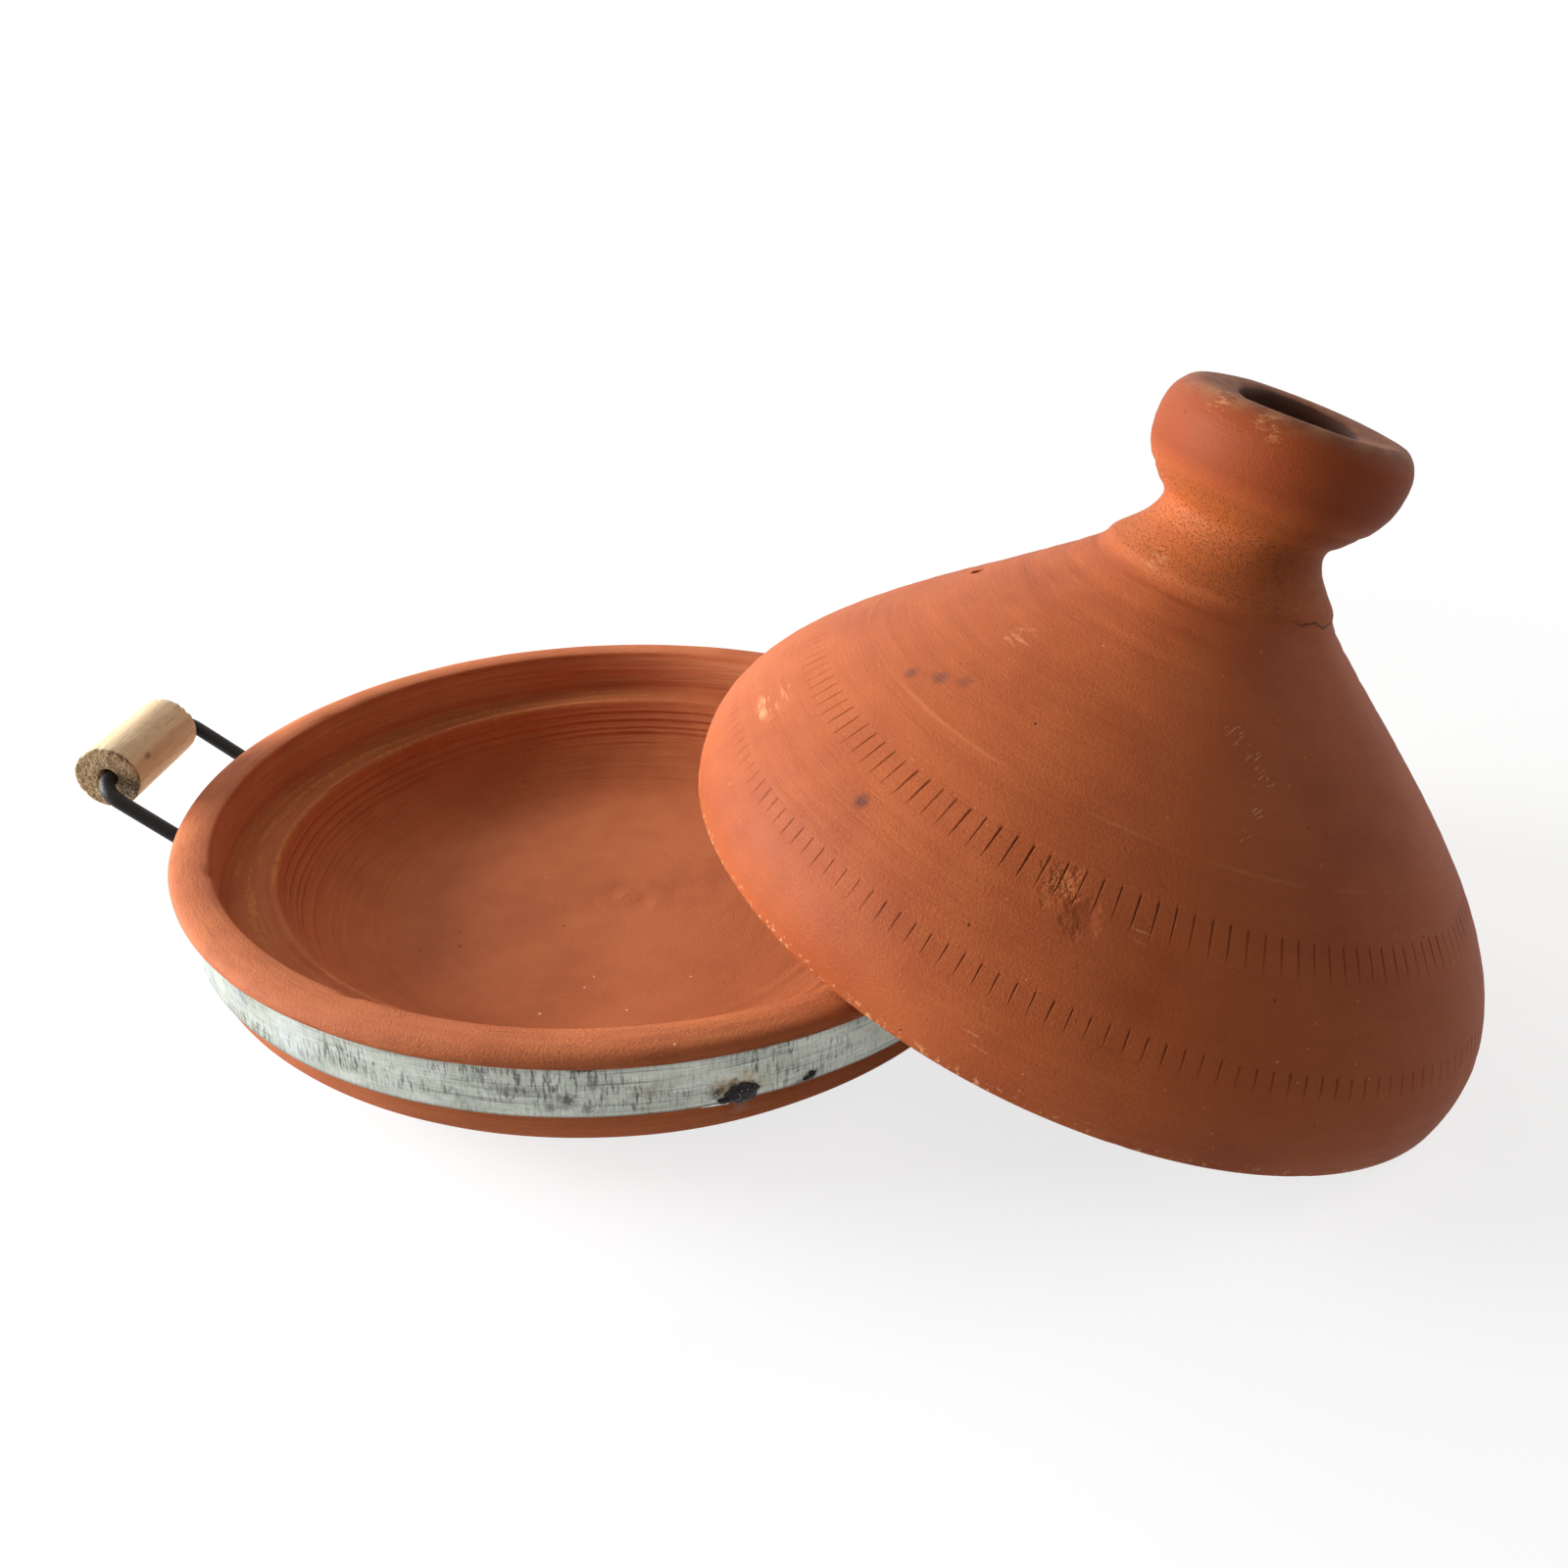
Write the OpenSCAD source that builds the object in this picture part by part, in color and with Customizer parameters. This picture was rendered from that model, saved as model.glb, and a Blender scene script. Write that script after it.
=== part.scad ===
// Tagine pot: an unglazed clay dish in a steel hoop with two wire handles, and its conical clay lid.
// The lid is off: its edge rests on the dish's rim at two points and on the table at one.
// Origin: centre of the dish's foot, on the table. The handles lie along X and the lid leans to +X.

/* [Dish] */
// Height of the rim's crown above the table
dish_h = 56.5; // [50:0.5:75]
// Radius of the rim bead at its widest
rim_r = 150; // [146:1:156]
// Width of the rim, from its outside to the crisp edge inside
rim_w = 12; // [10:0.5:15]
// Drop from the crown to that inner edge
mouth_drop = 1; // [0.4:0.1:2]
// Distance of the crown's highest circle in from the rim's outside
crown_in = 6.5; // [4:0.5:8]
// Height of the rim bead on its outside
bead_h = 5.8; // [4.5:0.1:8]
// Distance of the flat foot's edge in from the rim's outside
foot_in = 37; // [28:1:55]
// Thickness of the floor at its centre
floor_t = 8.5; // [6:0.5:14]
// Distance of the floor's flat part in from the rim's outside
floor_in = 70; // [60:1:95]
// Depth of the gallery ledge below the crown
gallery_depth = 18.5; // [14:0.5:24]
// Radial clearance of the lid's edge in the gallery
lid_clearance = 1.2; // [0.8:0.1:1.4]
// Width of the gallery ledge, from its wall to its inner lip
ledge_w = 16.2; // [14:0.1:22]

/* [Lid] */
// Swell of the lid's belly beyond its bottom edge
belly_swell = 0.4; // [0:0.1:1]
// Height of that widest circle above the bottom edge
belly_h = 8; // [6:0.5:14]
// Thickness of the lid's wall
lid_wall = 8; // [6:0.5:11]
// Height of the collar ridge at the top of the cone
collar_h = 116; // [108:1:128]
// Radius of the collar ridge
collar_r = 36; // [33:0.2:42]
// Height of the neck's narrowest circle above the collar
neck_rise = 15.5; // [12:0.5:20]
// Radius of the neck
neck_r = 25.5; // [22:0.5:30]
// Height of the knob above the neck
knob_h = 37; // [32:1:46]
// Widest radius of the knob
knob_r = 37.4; // [34:0.2:44]
// Radius of the well's mouth in the knob
well_r = 17; // [13:0.5:20]
// Depth of the well
well_depth = 29; // [20:1:34]
// Diameter of the steam hole
vent_d = 5; // [3:0.5:8]
// Height of the steam hole above the bottom edge
vent_h = 88; // [80:1:94]
// Direction of the steam hole round the lid, from +X
vent_azimuth = 170; // [100:5:260]

/* [Leaning lid] */
// Tilt of the lid where it leans on the dish
lean = 15.9; // [15:0.1:16.8]
// Direction in which the lid leans, from +X
lean_azimuth = -8; // [-12:1:12]
// Gap left at each of the three points where the lid rests
rest_gap = 0.3; // [0.2:0.05:0.6]

/* [Hoop] */
// Width of the steel strip
band_w = 18; // [14:0.5:20]
// Thickness of the steel strip
band_t = 0.9; // [0.6:0.1:1.5]
// Depth of the hoop's seat under the rim bead
band_recess = 4.7; // [3.5:0.1:6]
// Direction of the weld that closes the hoop
lap_weld_azimuth = -71; // [-90:1:-66]
// Length of that weld along the strip
lap_weld_len = 11; // [6:0.5:14]
// Direction of the small tack beside it
tack_azimuth = -62; // [-65:1:-30]
// Length of the tack
tack_len = 3.6; // [2.5:0.1:6]

/* [Handles] */
// Diameter of the steel rod
rod_d = 5; // [4:0.5:6]
// Width between the centrelines of the rod's two legs
handle_w = 60; // [50:1:80]
// Distance of the grip's axis outside the rim
grip_out = 22; // [18:1:32]
// Height of the grip's axis above the dish's crown
grip_rise = 10; // [4:0.5:12]
// Length of the wooden grip
grip_len = 44; // [36:1:46]
// Diameter of the wooden grip
grip_d = 22; // [18:0.5:24]
// Distance of the drilled hole from the grip's own axis
grip_off_centre = 1.2; // [0:0.1:2]
// Radial clearance of the grip on the rod
grip_clearance = 0.1; // [0.05:0.01:0.1]
// Inner bend radius of the rod at its corners
rod_bend = 5; // [4:0.5:8]
// Length of rod welded to the hoop at each end
foot_len = 9; // [7:0.5:12]

/* [Hidden] */
$fn = 96;

clay_red = "#b5603a";
zinc_grey = "#aab4ae";
weld_black = "#2c2622";
rod_brown = "#3a2c28";
beech_tan = "#c9a372";

// Seat gap between pieces of the fixed body
seat_gap = 0.05;
// Length by which a straight stretch of rod runs into its bend, where the wire is drawn a little thinner
rod_lap = 0.3;
elbow_draw = 0.02;
// Sides of a large round that trims small pieces
fine = 720;
// Steps in each curved stretch of an outline
curve_steps = 8;
// Small rounding of fired clay edges
clay_round = 1.6;

// Fall of the gallery's wall inside the mouth
gallery_in = 0.8;
// Pull of the cone's curve at its top and at its belly, as shares of its width and height
cone_pull = [0.388, -0.305];
belly_pull = 0.356;
// The same for the hollow inside
hollow_pull = [0.3755, -0.332];
hollow_belly_pull = 0.3256;
// Place of the steam hole's centre, as a share of the belly's radius
vent_share = 0.535;

// Radii that follow the rim
mouth_r = rim_r - rim_w;
crown_r = rim_r - crown_in;
foot_r = rim_r - foot_in;
floor_r = rim_r - floor_in;
gallery_outer_r = mouth_r - gallery_in;
lip_r = gallery_outer_r - ledge_w;
edge_r = gallery_outer_r - lid_clearance;
belly_r = edge_r + belly_swell;
grip_reach = rim_r + grip_out;

// Rim and hoop
mouth_z = dish_h - mouth_drop;
bead_low = dish_h - bead_h;
seat_r = rim_r - band_recess;
band_inner_r = seat_r + seat_gap;
band_outer_r = band_inner_r + band_t;
band_top = bead_low - seat_gap;
band_low = band_top - band_w;
bead_mid = dish_h - bead_h * 0.55;

// Gallery and bowl
gallery_z = dish_h - gallery_depth;
bowl_h = gallery_z - floor_t;
shoulder_z = band_low - 1.2;

// Lid
lid_h = collar_h + neck_rise + knob_h;
neck_h = collar_h + neck_rise;
knob_belly_h = lid_h - knob_h * 0.38;
inner_edge_r = edge_r - lid_wall + 0.5;
inner_top_h = collar_h - lid_wall * 0.85;
well_floor_h = lid_h - well_depth;

// Where the leaning lid comes to rest: its outer edge on the table, its inner edge on the crown
lid_z = edge_r * sin(lean) + rest_gap;
rest_cos = (dish_h + rest_gap - lid_z) / (inner_edge_r * sin(lean));
rest_sin = sqrt(1 - rest_cos * rest_cos);
rest_y = inner_edge_r * rest_sin;
rest_x = sqrt(crown_r * crown_r - rest_y * rest_y);
lid_x = rest_x + inner_edge_r * rest_cos * cos(lean);

// Handles
rod_r = rod_d / 2;
grip_z = dish_h + grip_rise;
grip_bore_r = rod_r + grip_clearance;
bend_r = rod_bend + rod_r;
leg_y = handle_w / 2;
foot_x = sqrt(pow(band_outer_r + rod_r + seat_gap, 2) - leg_y * leg_y);
foot_top = (band_top + band_low + foot_len - 1) / 2;
leg_run = grip_reach - foot_x;
leg_drop = grip_z - foot_top;
leg_len = sqrt(leg_run * leg_run + leg_drop * leg_drop);
leg_slope = atan2(leg_drop, leg_run);
foot_turn = 90 - leg_slope;
foot_trim = bend_r * tan(foot_turn / 2);
weld_r = rod_r + 1.5;
weld_z = foot_top - foot_trim - foot_len / 2;

// A cubic curve from a to d, drawn towards b and c, without its first point
function curve(a, b, c, d, n = curve_steps) =
    [for (i = [1:n]) let (t = i / n, u = 1 - t)
        u * u * u * a + 3 * u * u * t * b + 3 * u * t * t * c + t * t * t * d];

// Dish outline: foot, wall, hoop seat, bead, mouth, gallery, bowl and floor
function dish_outline() = let (
    foot = [foot_r, 0],
    foot_edge = [foot_r + 1.5, 1.2],
    shoulder = [seat_r - 0.6, shoulder_z],
    bead_out = [rim_r, bead_mid],
    bead_under = [rim_r - band_recess * 0.5, bead_low],
    crown = [crown_r, dish_h],
    mouth = [mouth_r, mouth_z],
    ledge_out = [gallery_outer_r, gallery_z + 1.5],
    ledge = [gallery_outer_r - 2, gallery_z],
    lip = [lip_r, gallery_z + 0.6],
    bowl_top = [lip_r - 1.8, gallery_z - 3],
    bowl_low = [floor_r, floor_t + 1]
) concat(
    [[0, 0], foot],
    [foot_edge],
    curve(foot_edge, [foot_r + 20, 16], [seat_r - 1.5, shoulder_z - 15], shoulder, 12),
    [[seat_r, shoulder_z + 1.2], [seat_r, bead_low]],
    [bead_under],
    curve(bead_under, [rim_r - 0.6, bead_low], [rim_r, bead_mid - 1.2], bead_out, 6),
    curve(bead_out, [rim_r, dish_h - 1], [crown_r + 3.6, dish_h], crown),
    curve(crown, [crown_r - 2.4, dish_h], [mouth_r + 1, mouth_z + 0.5], mouth, 5),
    curve(mouth, [mouth_r - 1.2, mouth_z - 1], [gallery_outer_r + 0.2, gallery_z + 8], ledge_out, 6),
    curve(ledge_out, [gallery_outer_r, gallery_z + 0.4], ledge + [0.8, 0], ledge, 4),
    [[lip_r + 2, gallery_z]],
    curve([lip_r + 2, gallery_z], [lip_r + 1.2, gallery_z + 0.5], [lip_r + 0.6, gallery_z + 0.6], lip, 3),
    curve(lip, [lip_r - 1, gallery_z + 0.4], [lip_r - 1.6, gallery_z - 1], bowl_top, 4),
    curve(bowl_top, [lip_r - 5, floor_t + bowl_h * 0.42], [floor_r + 20, floor_t + 2.4], bowl_low, 10),
    curve(bowl_low, [floor_r - 14, floor_t], [floor_r - 30, floor_t], [0, floor_t], 4));

// Lid outline above its bottom edge: belly, cone, collar, neck, knob, well and the hollow inside
function lid_outline() = let (
    edge = [edge_r, clay_round],
    belly = [belly_r, belly_h],
    collar = [collar_r, collar_h],
    collar_low = [collar_r + 3.2, collar_h - 4.5],
    neck = [neck_r, neck_h],
    knob = [knob_r, knob_belly_h],
    knob_top = [well_r + 6, lid_h],
    mouth = [well_r, lid_h - 2.2],
    well_side = [well_r + 0.5, well_floor_h + 10],
    hollow_top = [collar_r - 7.5, inner_top_h - 6],
    hollow_side = [inner_edge_r + 0.4, belly_h],
    cone = [belly_r - collar_low[0], collar_low[1] - belly_h],
    hollow = [hollow_side[0] - hollow_top[0], hollow_top[1] - belly_h]
) concat(
    [[edge_r - clay_round, 0]],
    curve([edge_r - clay_round, 0], [edge_r - 0.5, 0], [edge_r, 0.5], edge, 3),
    curve(edge, [edge_r + 0.2, 3.5], [belly_r, belly_h - 4], belly, 5),
    curve(belly, [belly_r, belly_h + belly_pull * cone[1]],
          collar_low + [cone_pull[0] * cone[0], cone_pull[1] * cone[1]], collar_low, 24),
    curve(collar_low, collar_low + [-1, 0.9], collar + [0.3, -1.8], collar, 4),
    curve(collar, collar + [-0.4, 2.6], [neck_r + 0.4, neck_h - 7], neck, 9),
    curve(neck, [neck_r - 0.2, neck_h + 5.5], [knob_r - 0.4, neck_h + 7], knob, 12),
    curve(knob, [knob_r + 0.4, knob_belly_h + 9.5], [knob_r - 6, lid_h + 0.5], knob_top, 10),
    curve(knob_top, [well_r + 3, lid_h - 0.3], [well_r + 0.8, lid_h - 0.6], mouth, 4),
    curve(mouth, [well_r - 0.4, lid_h - 6], [well_r + 0.5, well_floor_h + 15], well_side, 4),
    curve(well_side, [well_r + 0.4, well_floor_h + 2], [well_r - 5, well_floor_h], [0, well_floor_h], 6),
    [[0, inner_top_h + 3]],
    curve([0, inner_top_h + 3], [14, inner_top_h + 3], hollow_top + [-10, 8.5], hollow_top, 6),
    curve(hollow_top, hollow_top + [hollow_pull[0] * hollow[0], hollow_pull[1] * hollow[1]],
          [hollow_side[0], belly_h + hollow_belly_pull * hollow[1]], hollow_side, 20),
    curve(hollow_side, [inner_edge_r + 0.4, 6], [inner_edge_r, 4], [inner_edge_r, clay_round], 3),
    curve([inner_edge_r, clay_round], [inner_edge_r, 0.5], [inner_edge_r + 0.5, 0],
          [inner_edge_r + clay_round, 0], 3));

// Steam hole, square to the cone's wall
module vent_hole() {
    rotate([0, 0, vent_azimuth])
        translate([belly_r * vent_share, 0, vent_h])
            rotate([0, 37, 0])
                cylinder(d = vent_d, h = 6 * lid_wall, center = true, $fn = 32);
}

// Rod along the bottom of a bend that starts at the origin, runs along +Y and turns towards -X
module rod_elbow(turn) {
    translate([-bend_r, 0, 0])
        rotate_extrude(angle = turn)
            translate([bend_r, 0])
                circle(r = rod_r - elbow_draw, $fn = 32);
}

// One leg, flat in XY: from the corner of the handle along -X to the foot, which turns to -Z
module rod_leg() {
    translate([0, leg_y - bend_r, 0])
        rod_elbow(90);
    translate([-bend_r, leg_y, 0])
        rotate([0, -90, 0])
            translate([0, 0, -rod_lap])
                cylinder(r = rod_r, h = leg_len - foot_trim - bend_r + 2 * rod_lap, $fn = 32);
    translate([-leg_len + foot_trim, leg_y, 0])
        rotate([90, -90, 0])
            rod_elbow(foot_turn);
}

// Whole rod of the handle on the +X side
module handle_rod() {
    color(rod_brown) {
        translate([grip_reach, 0, grip_z]) {
            rotate([90, 0, 0])
                cylinder(r = rod_r, h = handle_w - 2 * bend_r + 2 * rod_lap, center = true, $fn = 32);
            rotate([0, -leg_slope, 0]) {
                rod_leg();
                mirror([0, 1, 0])
                    rod_leg();
            }
        }
        for (side = [-1, 1])
            translate([foot_x, side * leg_y, foot_top - foot_trim - foot_len])
                cylinder(r = rod_r, h = foot_len + rod_lap, $fn = 32);
    }
}

// Turned wooden grip, drilled a little off its own axis
module handle_grip() {
    color(beech_tan)
        translate([grip_reach, 0, grip_z])
            rotate([90, 0, 0])
                difference() {
                    translate([grip_off_centre, 0, 0])
                        cylinder(d = grip_d, h = grip_len, center = true);
                    cylinder(r = grip_bore_r, h = grip_len + 2, center = true, $fn = 32);
                }
}

// Fillet welds on both sides of each foot of the rod
module handle_welds() {
    color(weld_black)
        for (side = [-1, 1])
            difference() {
                rotate([0, 0, side * asin(leg_y / (band_outer_r + rod_r))])
                    translate([band_outer_r + rod_r * 0.3, 0, weld_z])
                        rotate_extrude($fn = 64)
                            polygon([for (a = [-90:15:90])
                                [weld_r * cos(a), (foot_len / 2 - 1) * sin(a)]]);
                cylinder(r = band_outer_r + seat_gap, h = dish_h, $fn = fine);
                translate([foot_x, side * leg_y, 0])
                    cylinder(r = rod_r + seat_gap, h = dish_h, $fn = 96);
            }
}

// Lump of weld on the hoop's outer face
module weld_lump(azimuth, z, len, high) {
    color(weld_black)
        difference() {
            rotate([0, 0, azimuth])
                translate([band_outer_r - 0.4, 0, z])
                    rotate([90, 0, 0])
                        rotate_extrude($fn = 64)
                            polygon([for (a = [-90:15:90])
                                [high / 2 * cos(a), len / 2 * sin(a)]]);
            cylinder(r = band_outer_r + seat_gap, h = dish_h, $fn = fine);
        }
}

module dish() {
    color(clay_red)
        rotate_extrude()
            polygon(dish_outline());
}

module lid() {
    color(clay_red)
        rotate([0, 0, lean_azimuth])
            translate([lid_x, 0, lid_z])
                rotate([0, lean, 0])
                    difference() {
                        rotate_extrude()
                            polygon(lid_outline());
                        vent_hole();
                    }
}

module band() {
    color(zinc_grey)
        translate([0, 0, band_low])
            difference() {
                cylinder(r = band_outer_r, h = band_w);
                translate([0, 0, -1])
                    cylinder(r = band_inner_r, h = band_w + 2);
            }
}

module band_lap_weld() {
    weld_lump(lap_weld_azimuth, band_low + 2.6, lap_weld_len, 5);
}

module band_tack_weld() {
    weld_lump(tack_azimuth, band_low + 2, tack_len, 3);
}

module left_handle_rod() mirror([1, 0, 0]) handle_rod();
module left_handle_grip() mirror([1, 0, 0]) handle_grip();
module left_handle_welds() mirror([1, 0, 0]) handle_welds();
module right_handle_rod() handle_rod();
module right_handle_grip() handle_grip();
module right_handle_welds() handle_welds();

dish();
lid();
band();
band_lap_weld();
band_tack_weld();
left_handle_rod();
left_handle_grip();
left_handle_welds();
right_handle_rod();
right_handle_grip();
right_handle_welds();
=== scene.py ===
# Tagine pot with its lid off: terracotta dish, galvanised hoop, two wire handles with
# wooden grips, and the conical lid that leans on the rim. Metres, +Z up, origin at the
# centre of the dish's foot on the table.

import math

import bmesh
import bpy
from mathutils import Matrix, Vector, noise


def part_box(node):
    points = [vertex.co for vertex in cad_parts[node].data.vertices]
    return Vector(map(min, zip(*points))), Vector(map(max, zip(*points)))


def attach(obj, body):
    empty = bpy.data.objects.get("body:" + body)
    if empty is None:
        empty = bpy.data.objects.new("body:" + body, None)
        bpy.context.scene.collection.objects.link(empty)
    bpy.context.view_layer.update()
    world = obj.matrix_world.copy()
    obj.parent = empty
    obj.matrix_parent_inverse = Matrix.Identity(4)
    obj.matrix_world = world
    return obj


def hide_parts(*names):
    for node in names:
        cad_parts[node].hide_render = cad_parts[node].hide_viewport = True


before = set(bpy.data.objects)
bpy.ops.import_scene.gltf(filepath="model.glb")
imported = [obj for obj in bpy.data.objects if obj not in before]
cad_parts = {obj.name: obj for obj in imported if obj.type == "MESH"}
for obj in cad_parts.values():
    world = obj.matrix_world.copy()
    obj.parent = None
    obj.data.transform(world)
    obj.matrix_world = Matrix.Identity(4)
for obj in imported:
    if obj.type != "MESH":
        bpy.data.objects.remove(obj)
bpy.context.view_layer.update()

# ---------------------------------------------------------------------------------
# Table and light. A sheet of white paper in a white room, with a large window on the left
# and a little light from everywhere else.
# ---------------------------------------------------------------------------------


def linear(hex_colour):
    """A colour written in sRGB hex, as the linear values that a shader takes."""
    parts = [int(hex_colour[i : i + 2], 16) / 255 for i in (1, 3, 5)]
    parts = [p / 12.92 if p <= 0.04045 else ((p + 0.055) / 1.055) ** 2.4 for p in parts]
    return (*parts, 1.0)


def add(tree, kind, inputs=None, **settings):
    """Adds a shader node with its settings, and sets or links its inputs."""
    node = tree.nodes.new("ShaderNode" + kind)
    for name, value in settings.items():
        setattr(node, name, value)
    for name, value in (inputs or {}).items():
        socket = node.inputs[name]
        if isinstance(value, bpy.types.NodeSocket):
            tree.links.new(value, socket)
        else:
            socket.default_value = value
    return node


def new_material(name):
    """An empty material and its node tree, with the output node."""
    material = bpy.data.materials.new(name)
    material.use_nodes = True
    material.node_tree.nodes.clear()
    return material, material.node_tree, add(material.node_tree, "OutputMaterial")


def new_piece(name, bm, material, smooth=True):
    """Turns a bmesh into an object at the origin with one material."""
    mesh = bpy.data.meshes.new(name)
    bm.to_mesh(mesh)
    bm.free()
    mesh.materials.append(material)
    for face in mesh.polygons:
        face.use_smooth = smooth
    piece = bpy.data.objects.new(name, mesh)
    bpy.context.scene.collection.objects.link(piece)
    return piece


def any_view_ray(tree):
    """1 for what the camera sees, straight or through a mirror or glass."""
    path = add(tree, "LightPath").outputs
    seen = path["Is Camera Ray"]
    for other in ("Is Glossy Ray", "Is Transmission Ray"):
        seen = add(tree, "Math", {0: seen, 1: path[other]}, operation="MAXIMUM").outputs[0]
    return seen


# White paper, matt. It shows as white, keeps a pale shadow near the pot, and from 34 to
# 75 cm away it fades into the white of the room.
table_paper, tree, out = new_material("table_white_paper")
far = add(
    tree,
    "VectorMath",
    {0: add(tree, "TexCoord").outputs["Object"], 1: (0.06, 0.0, 0.0)},
    operation="DISTANCE",
).outputs["Value"]
fade = add(
    tree,
    "MapRange",
    {"Value": far, "From Min": 0.34, "From Max": 0.75},
    interpolation_type="SMOOTHSTEP",
).outputs[0]
paper = add(tree, "BsdfDiffuse", {"Color": linear("#dddcda")})
paper_seen = add(tree, "BsdfDiffuse", {"Color": linear("#8f8e8d")})
glow = add(tree, "Emission", {"Color": linear("#ffffff"), "Strength": 0.78})
white = add(tree, "Emission", {"Color": linear("#ffffff"), "Strength": 1.0})
lifted = add(tree, "AddShader", {0: paper_seen.outputs[0], 1: glow.outputs[0]})
faded = add(tree, "MixShader", {0: fade, 1: lifted.outputs[0], 2: white.outputs[0]})
seen_or_not = {0: any_view_ray(tree), 1: paper.outputs[0], 2: faded.outputs[0]}
table_mix = add(tree, "MixShader", seen_or_not)
tree.links.new(table_mix.outputs[0], out.inputs["Surface"])

bm = bmesh.new()
bmesh.ops.create_grid(bm, x_segments=1, y_segments=1, size=2.6)
table = new_piece("table", bm, table_paper)

world = bpy.data.worlds.new("pale_room")
bpy.context.scene.world = world
world.use_nodes = True
world.node_tree.nodes.clear()
sky = world.node_tree
room = add(sky, "Background", {"Color": linear("#eef2f6"), "Strength": 0.015})
wall = add(sky, "Background", {"Color": linear("#ffffff"), "Strength": 1.0})
seen_or_not = {0: any_view_ray(sky), 1: room.outputs[0], 2: wall.outputs[0]}
sky_mix = add(sky, "MixShader", seen_or_not)
add(sky, "OutputWorld", {"Surface": sky_mix.outputs[0]})


pot_middle = Vector((0.06, 0.0, 0.08))


def add_window(name, place, watts, colour):
    """A soft square light, 80 cm wide, turned towards the pot."""
    lamp = bpy.data.lights.new(name, "AREA")
    lamp.shape = "RECTANGLE"
    lamp.size = lamp.size_y = 0.8
    lamp.energy = watts
    lamp.color = linear(colour)[:3]
    lamp_object = bpy.data.objects.new(name, lamp)
    turn = (pot_middle - Vector(place)).to_track_quat("-Z", "Y").to_matrix().to_4x4()
    lamp_object.matrix_world = Matrix.Translation(place) @ turn
    bpy.context.scene.collection.objects.link(lamp_object)


# a low window on the left does most of it, and pale walls all round fill the shadows
for name, place, watts, colour in (
    ("window_left", (-1.39, 0.0, 0.47), 50.0, "#f7fbff"),
    ("wall_behind_left", (-0.78, 1.0, 0.83), 9.0, "#fff9f2"),
    ("wall_behind", (0.06, 1.15, 1.04), 3.6, "#fff9f2"),
    ("wall_in_front", (0.06, -0.75, 1.38), 2.6, "#fff9f2"),
    ("wall_right", (1.29, 0.0, 0.94), 2.6, "#fff9f2"),
):
    add_window(name, place, watts, colour)

# ---------------------------------------------------------------------------------
# Camera. A phone held about 45 cm away and 27 degrees above the table, with its wide
# lens, rolled a little.
# ---------------------------------------------------------------------------------

camera = bpy.data.objects.new("camera", bpy.data.cameras.new("camera"))
camera.data.sensor_width = 36
camera.data.lens = 27.16
camera.data.clip_start = 0.01
camera_right = Vector((0.999793, 0.003258, 0.020059))
camera_up = Vector((-0.019343, 0.455204, 0.890177))
camera_back = -Vector((0.006231, 0.890381, -0.455173))
camera.matrix_world = Matrix.Translation((0.0566844, -0.3838661, 0.2543208)) @ (
    Matrix((camera_right, camera_up, camera_back)).transposed().to_4x4()
)
bpy.context.scene.collection.objects.link(camera)
bpy.context.scene.camera = camera
bpy.context.scene.view_settings.view_transform = "Standard"

# ---------------------------------------------------------------------------------
# Dish. Coarse red earthenware, thrown on a wheel and fired once without glaze. A thick
# rounded rim overhangs the hoop's seat, a ledge inside takes the lid, and the thrower's
# fingers have left ridges below it and a spiral at the centre of the floor.
# ---------------------------------------------------------------------------------


def curve(a, b, c, d, n):
    """Points of a cubic curve from a to d, drawn towards b and c, without its first."""
    points = []
    for i in range(1, n + 1):
        t = i / n
        u = 1 - t
        k = (u * u * u, 3 * u * u * t, 3 * u * t * t, t * t * t)
        points.append(tuple(sum(f * p[j] for f, p in zip(k, (a, b, c, d))) for j in (0, 1)))
    return points


def line(a, b, n):
    """Points of a straight stretch from a to b, without its first."""
    return [tuple(a[j] + (b[j] - a[j]) * i / n for j in (0, 1)) for i in range(1, n + 1)]


def throw(outline, turns):
    """Spins an outline of (radius, height) in mm round +Z, as on a wheel: a tenth of a
    turn first, and then turned copies of it, which is quicker than one long spin."""
    bm = bmesh.new()
    rail = [bm.verts.new((r / 1000, 0, h / 1000)) for r, h in outline]
    edges = [bm.edges.new(pair) for pair in zip(rail, rail[1:])]
    bmesh.ops.spin(
        bm,
        geom=rail + edges,
        cent=(0, 0, 0),
        axis=(0, 0, 1),
        angle=math.tau / 10,
        steps=turns // 10,
        use_merge=False,
    )
    tenth = bm.verts[:] + bm.edges[:] + bm.faces[:]
    for k in range(1, 10):
        copy = bmesh.ops.duplicate(bm, geom=tenth)["geom"]
        bmesh.ops.rotate(
            bm,
            verts=[g for g in copy if isinstance(g, bmesh.types.BMVert)],
            cent=(0, 0, 0),
            matrix=Matrix.Rotation(math.tau * k / 10, 3, "Z"),
        )
    bmesh.ops.remove_doubles(bm, verts=bm.verts, dist=0.00002)
    return bm


def clay_body(name, to_wheel):
    """An empty clay material, with the wheel's own coordinates: how far out, how high and
    which way round a point lies."""
    material, tree, out = new_material(name)
    place = add(tree, "TexCoord").outputs["Object"]
    turn = to_wheel.to_euler("XYZ")
    moved = {"Vector": place, "Location": to_wheel.translation, "Rotation": turn}
    wheel = add(tree, "Mapping", moved).outputs[0]
    split = add(tree, "SeparateXYZ", {0: wheel}).outputs
    flat = add(tree, "CombineXYZ", {0: split[0], 1: split[1], 2: 0.0}).outputs[0]
    radius = add(tree, "VectorMath", {0: flat}, operation="LENGTH").outputs["Value"]
    round_way = add(tree, "VectorMath", {0: flat}, operation="NORMALIZE").outputs[0]
    return material, tree, out, wheel, flat, radius, split[2], round_way


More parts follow.
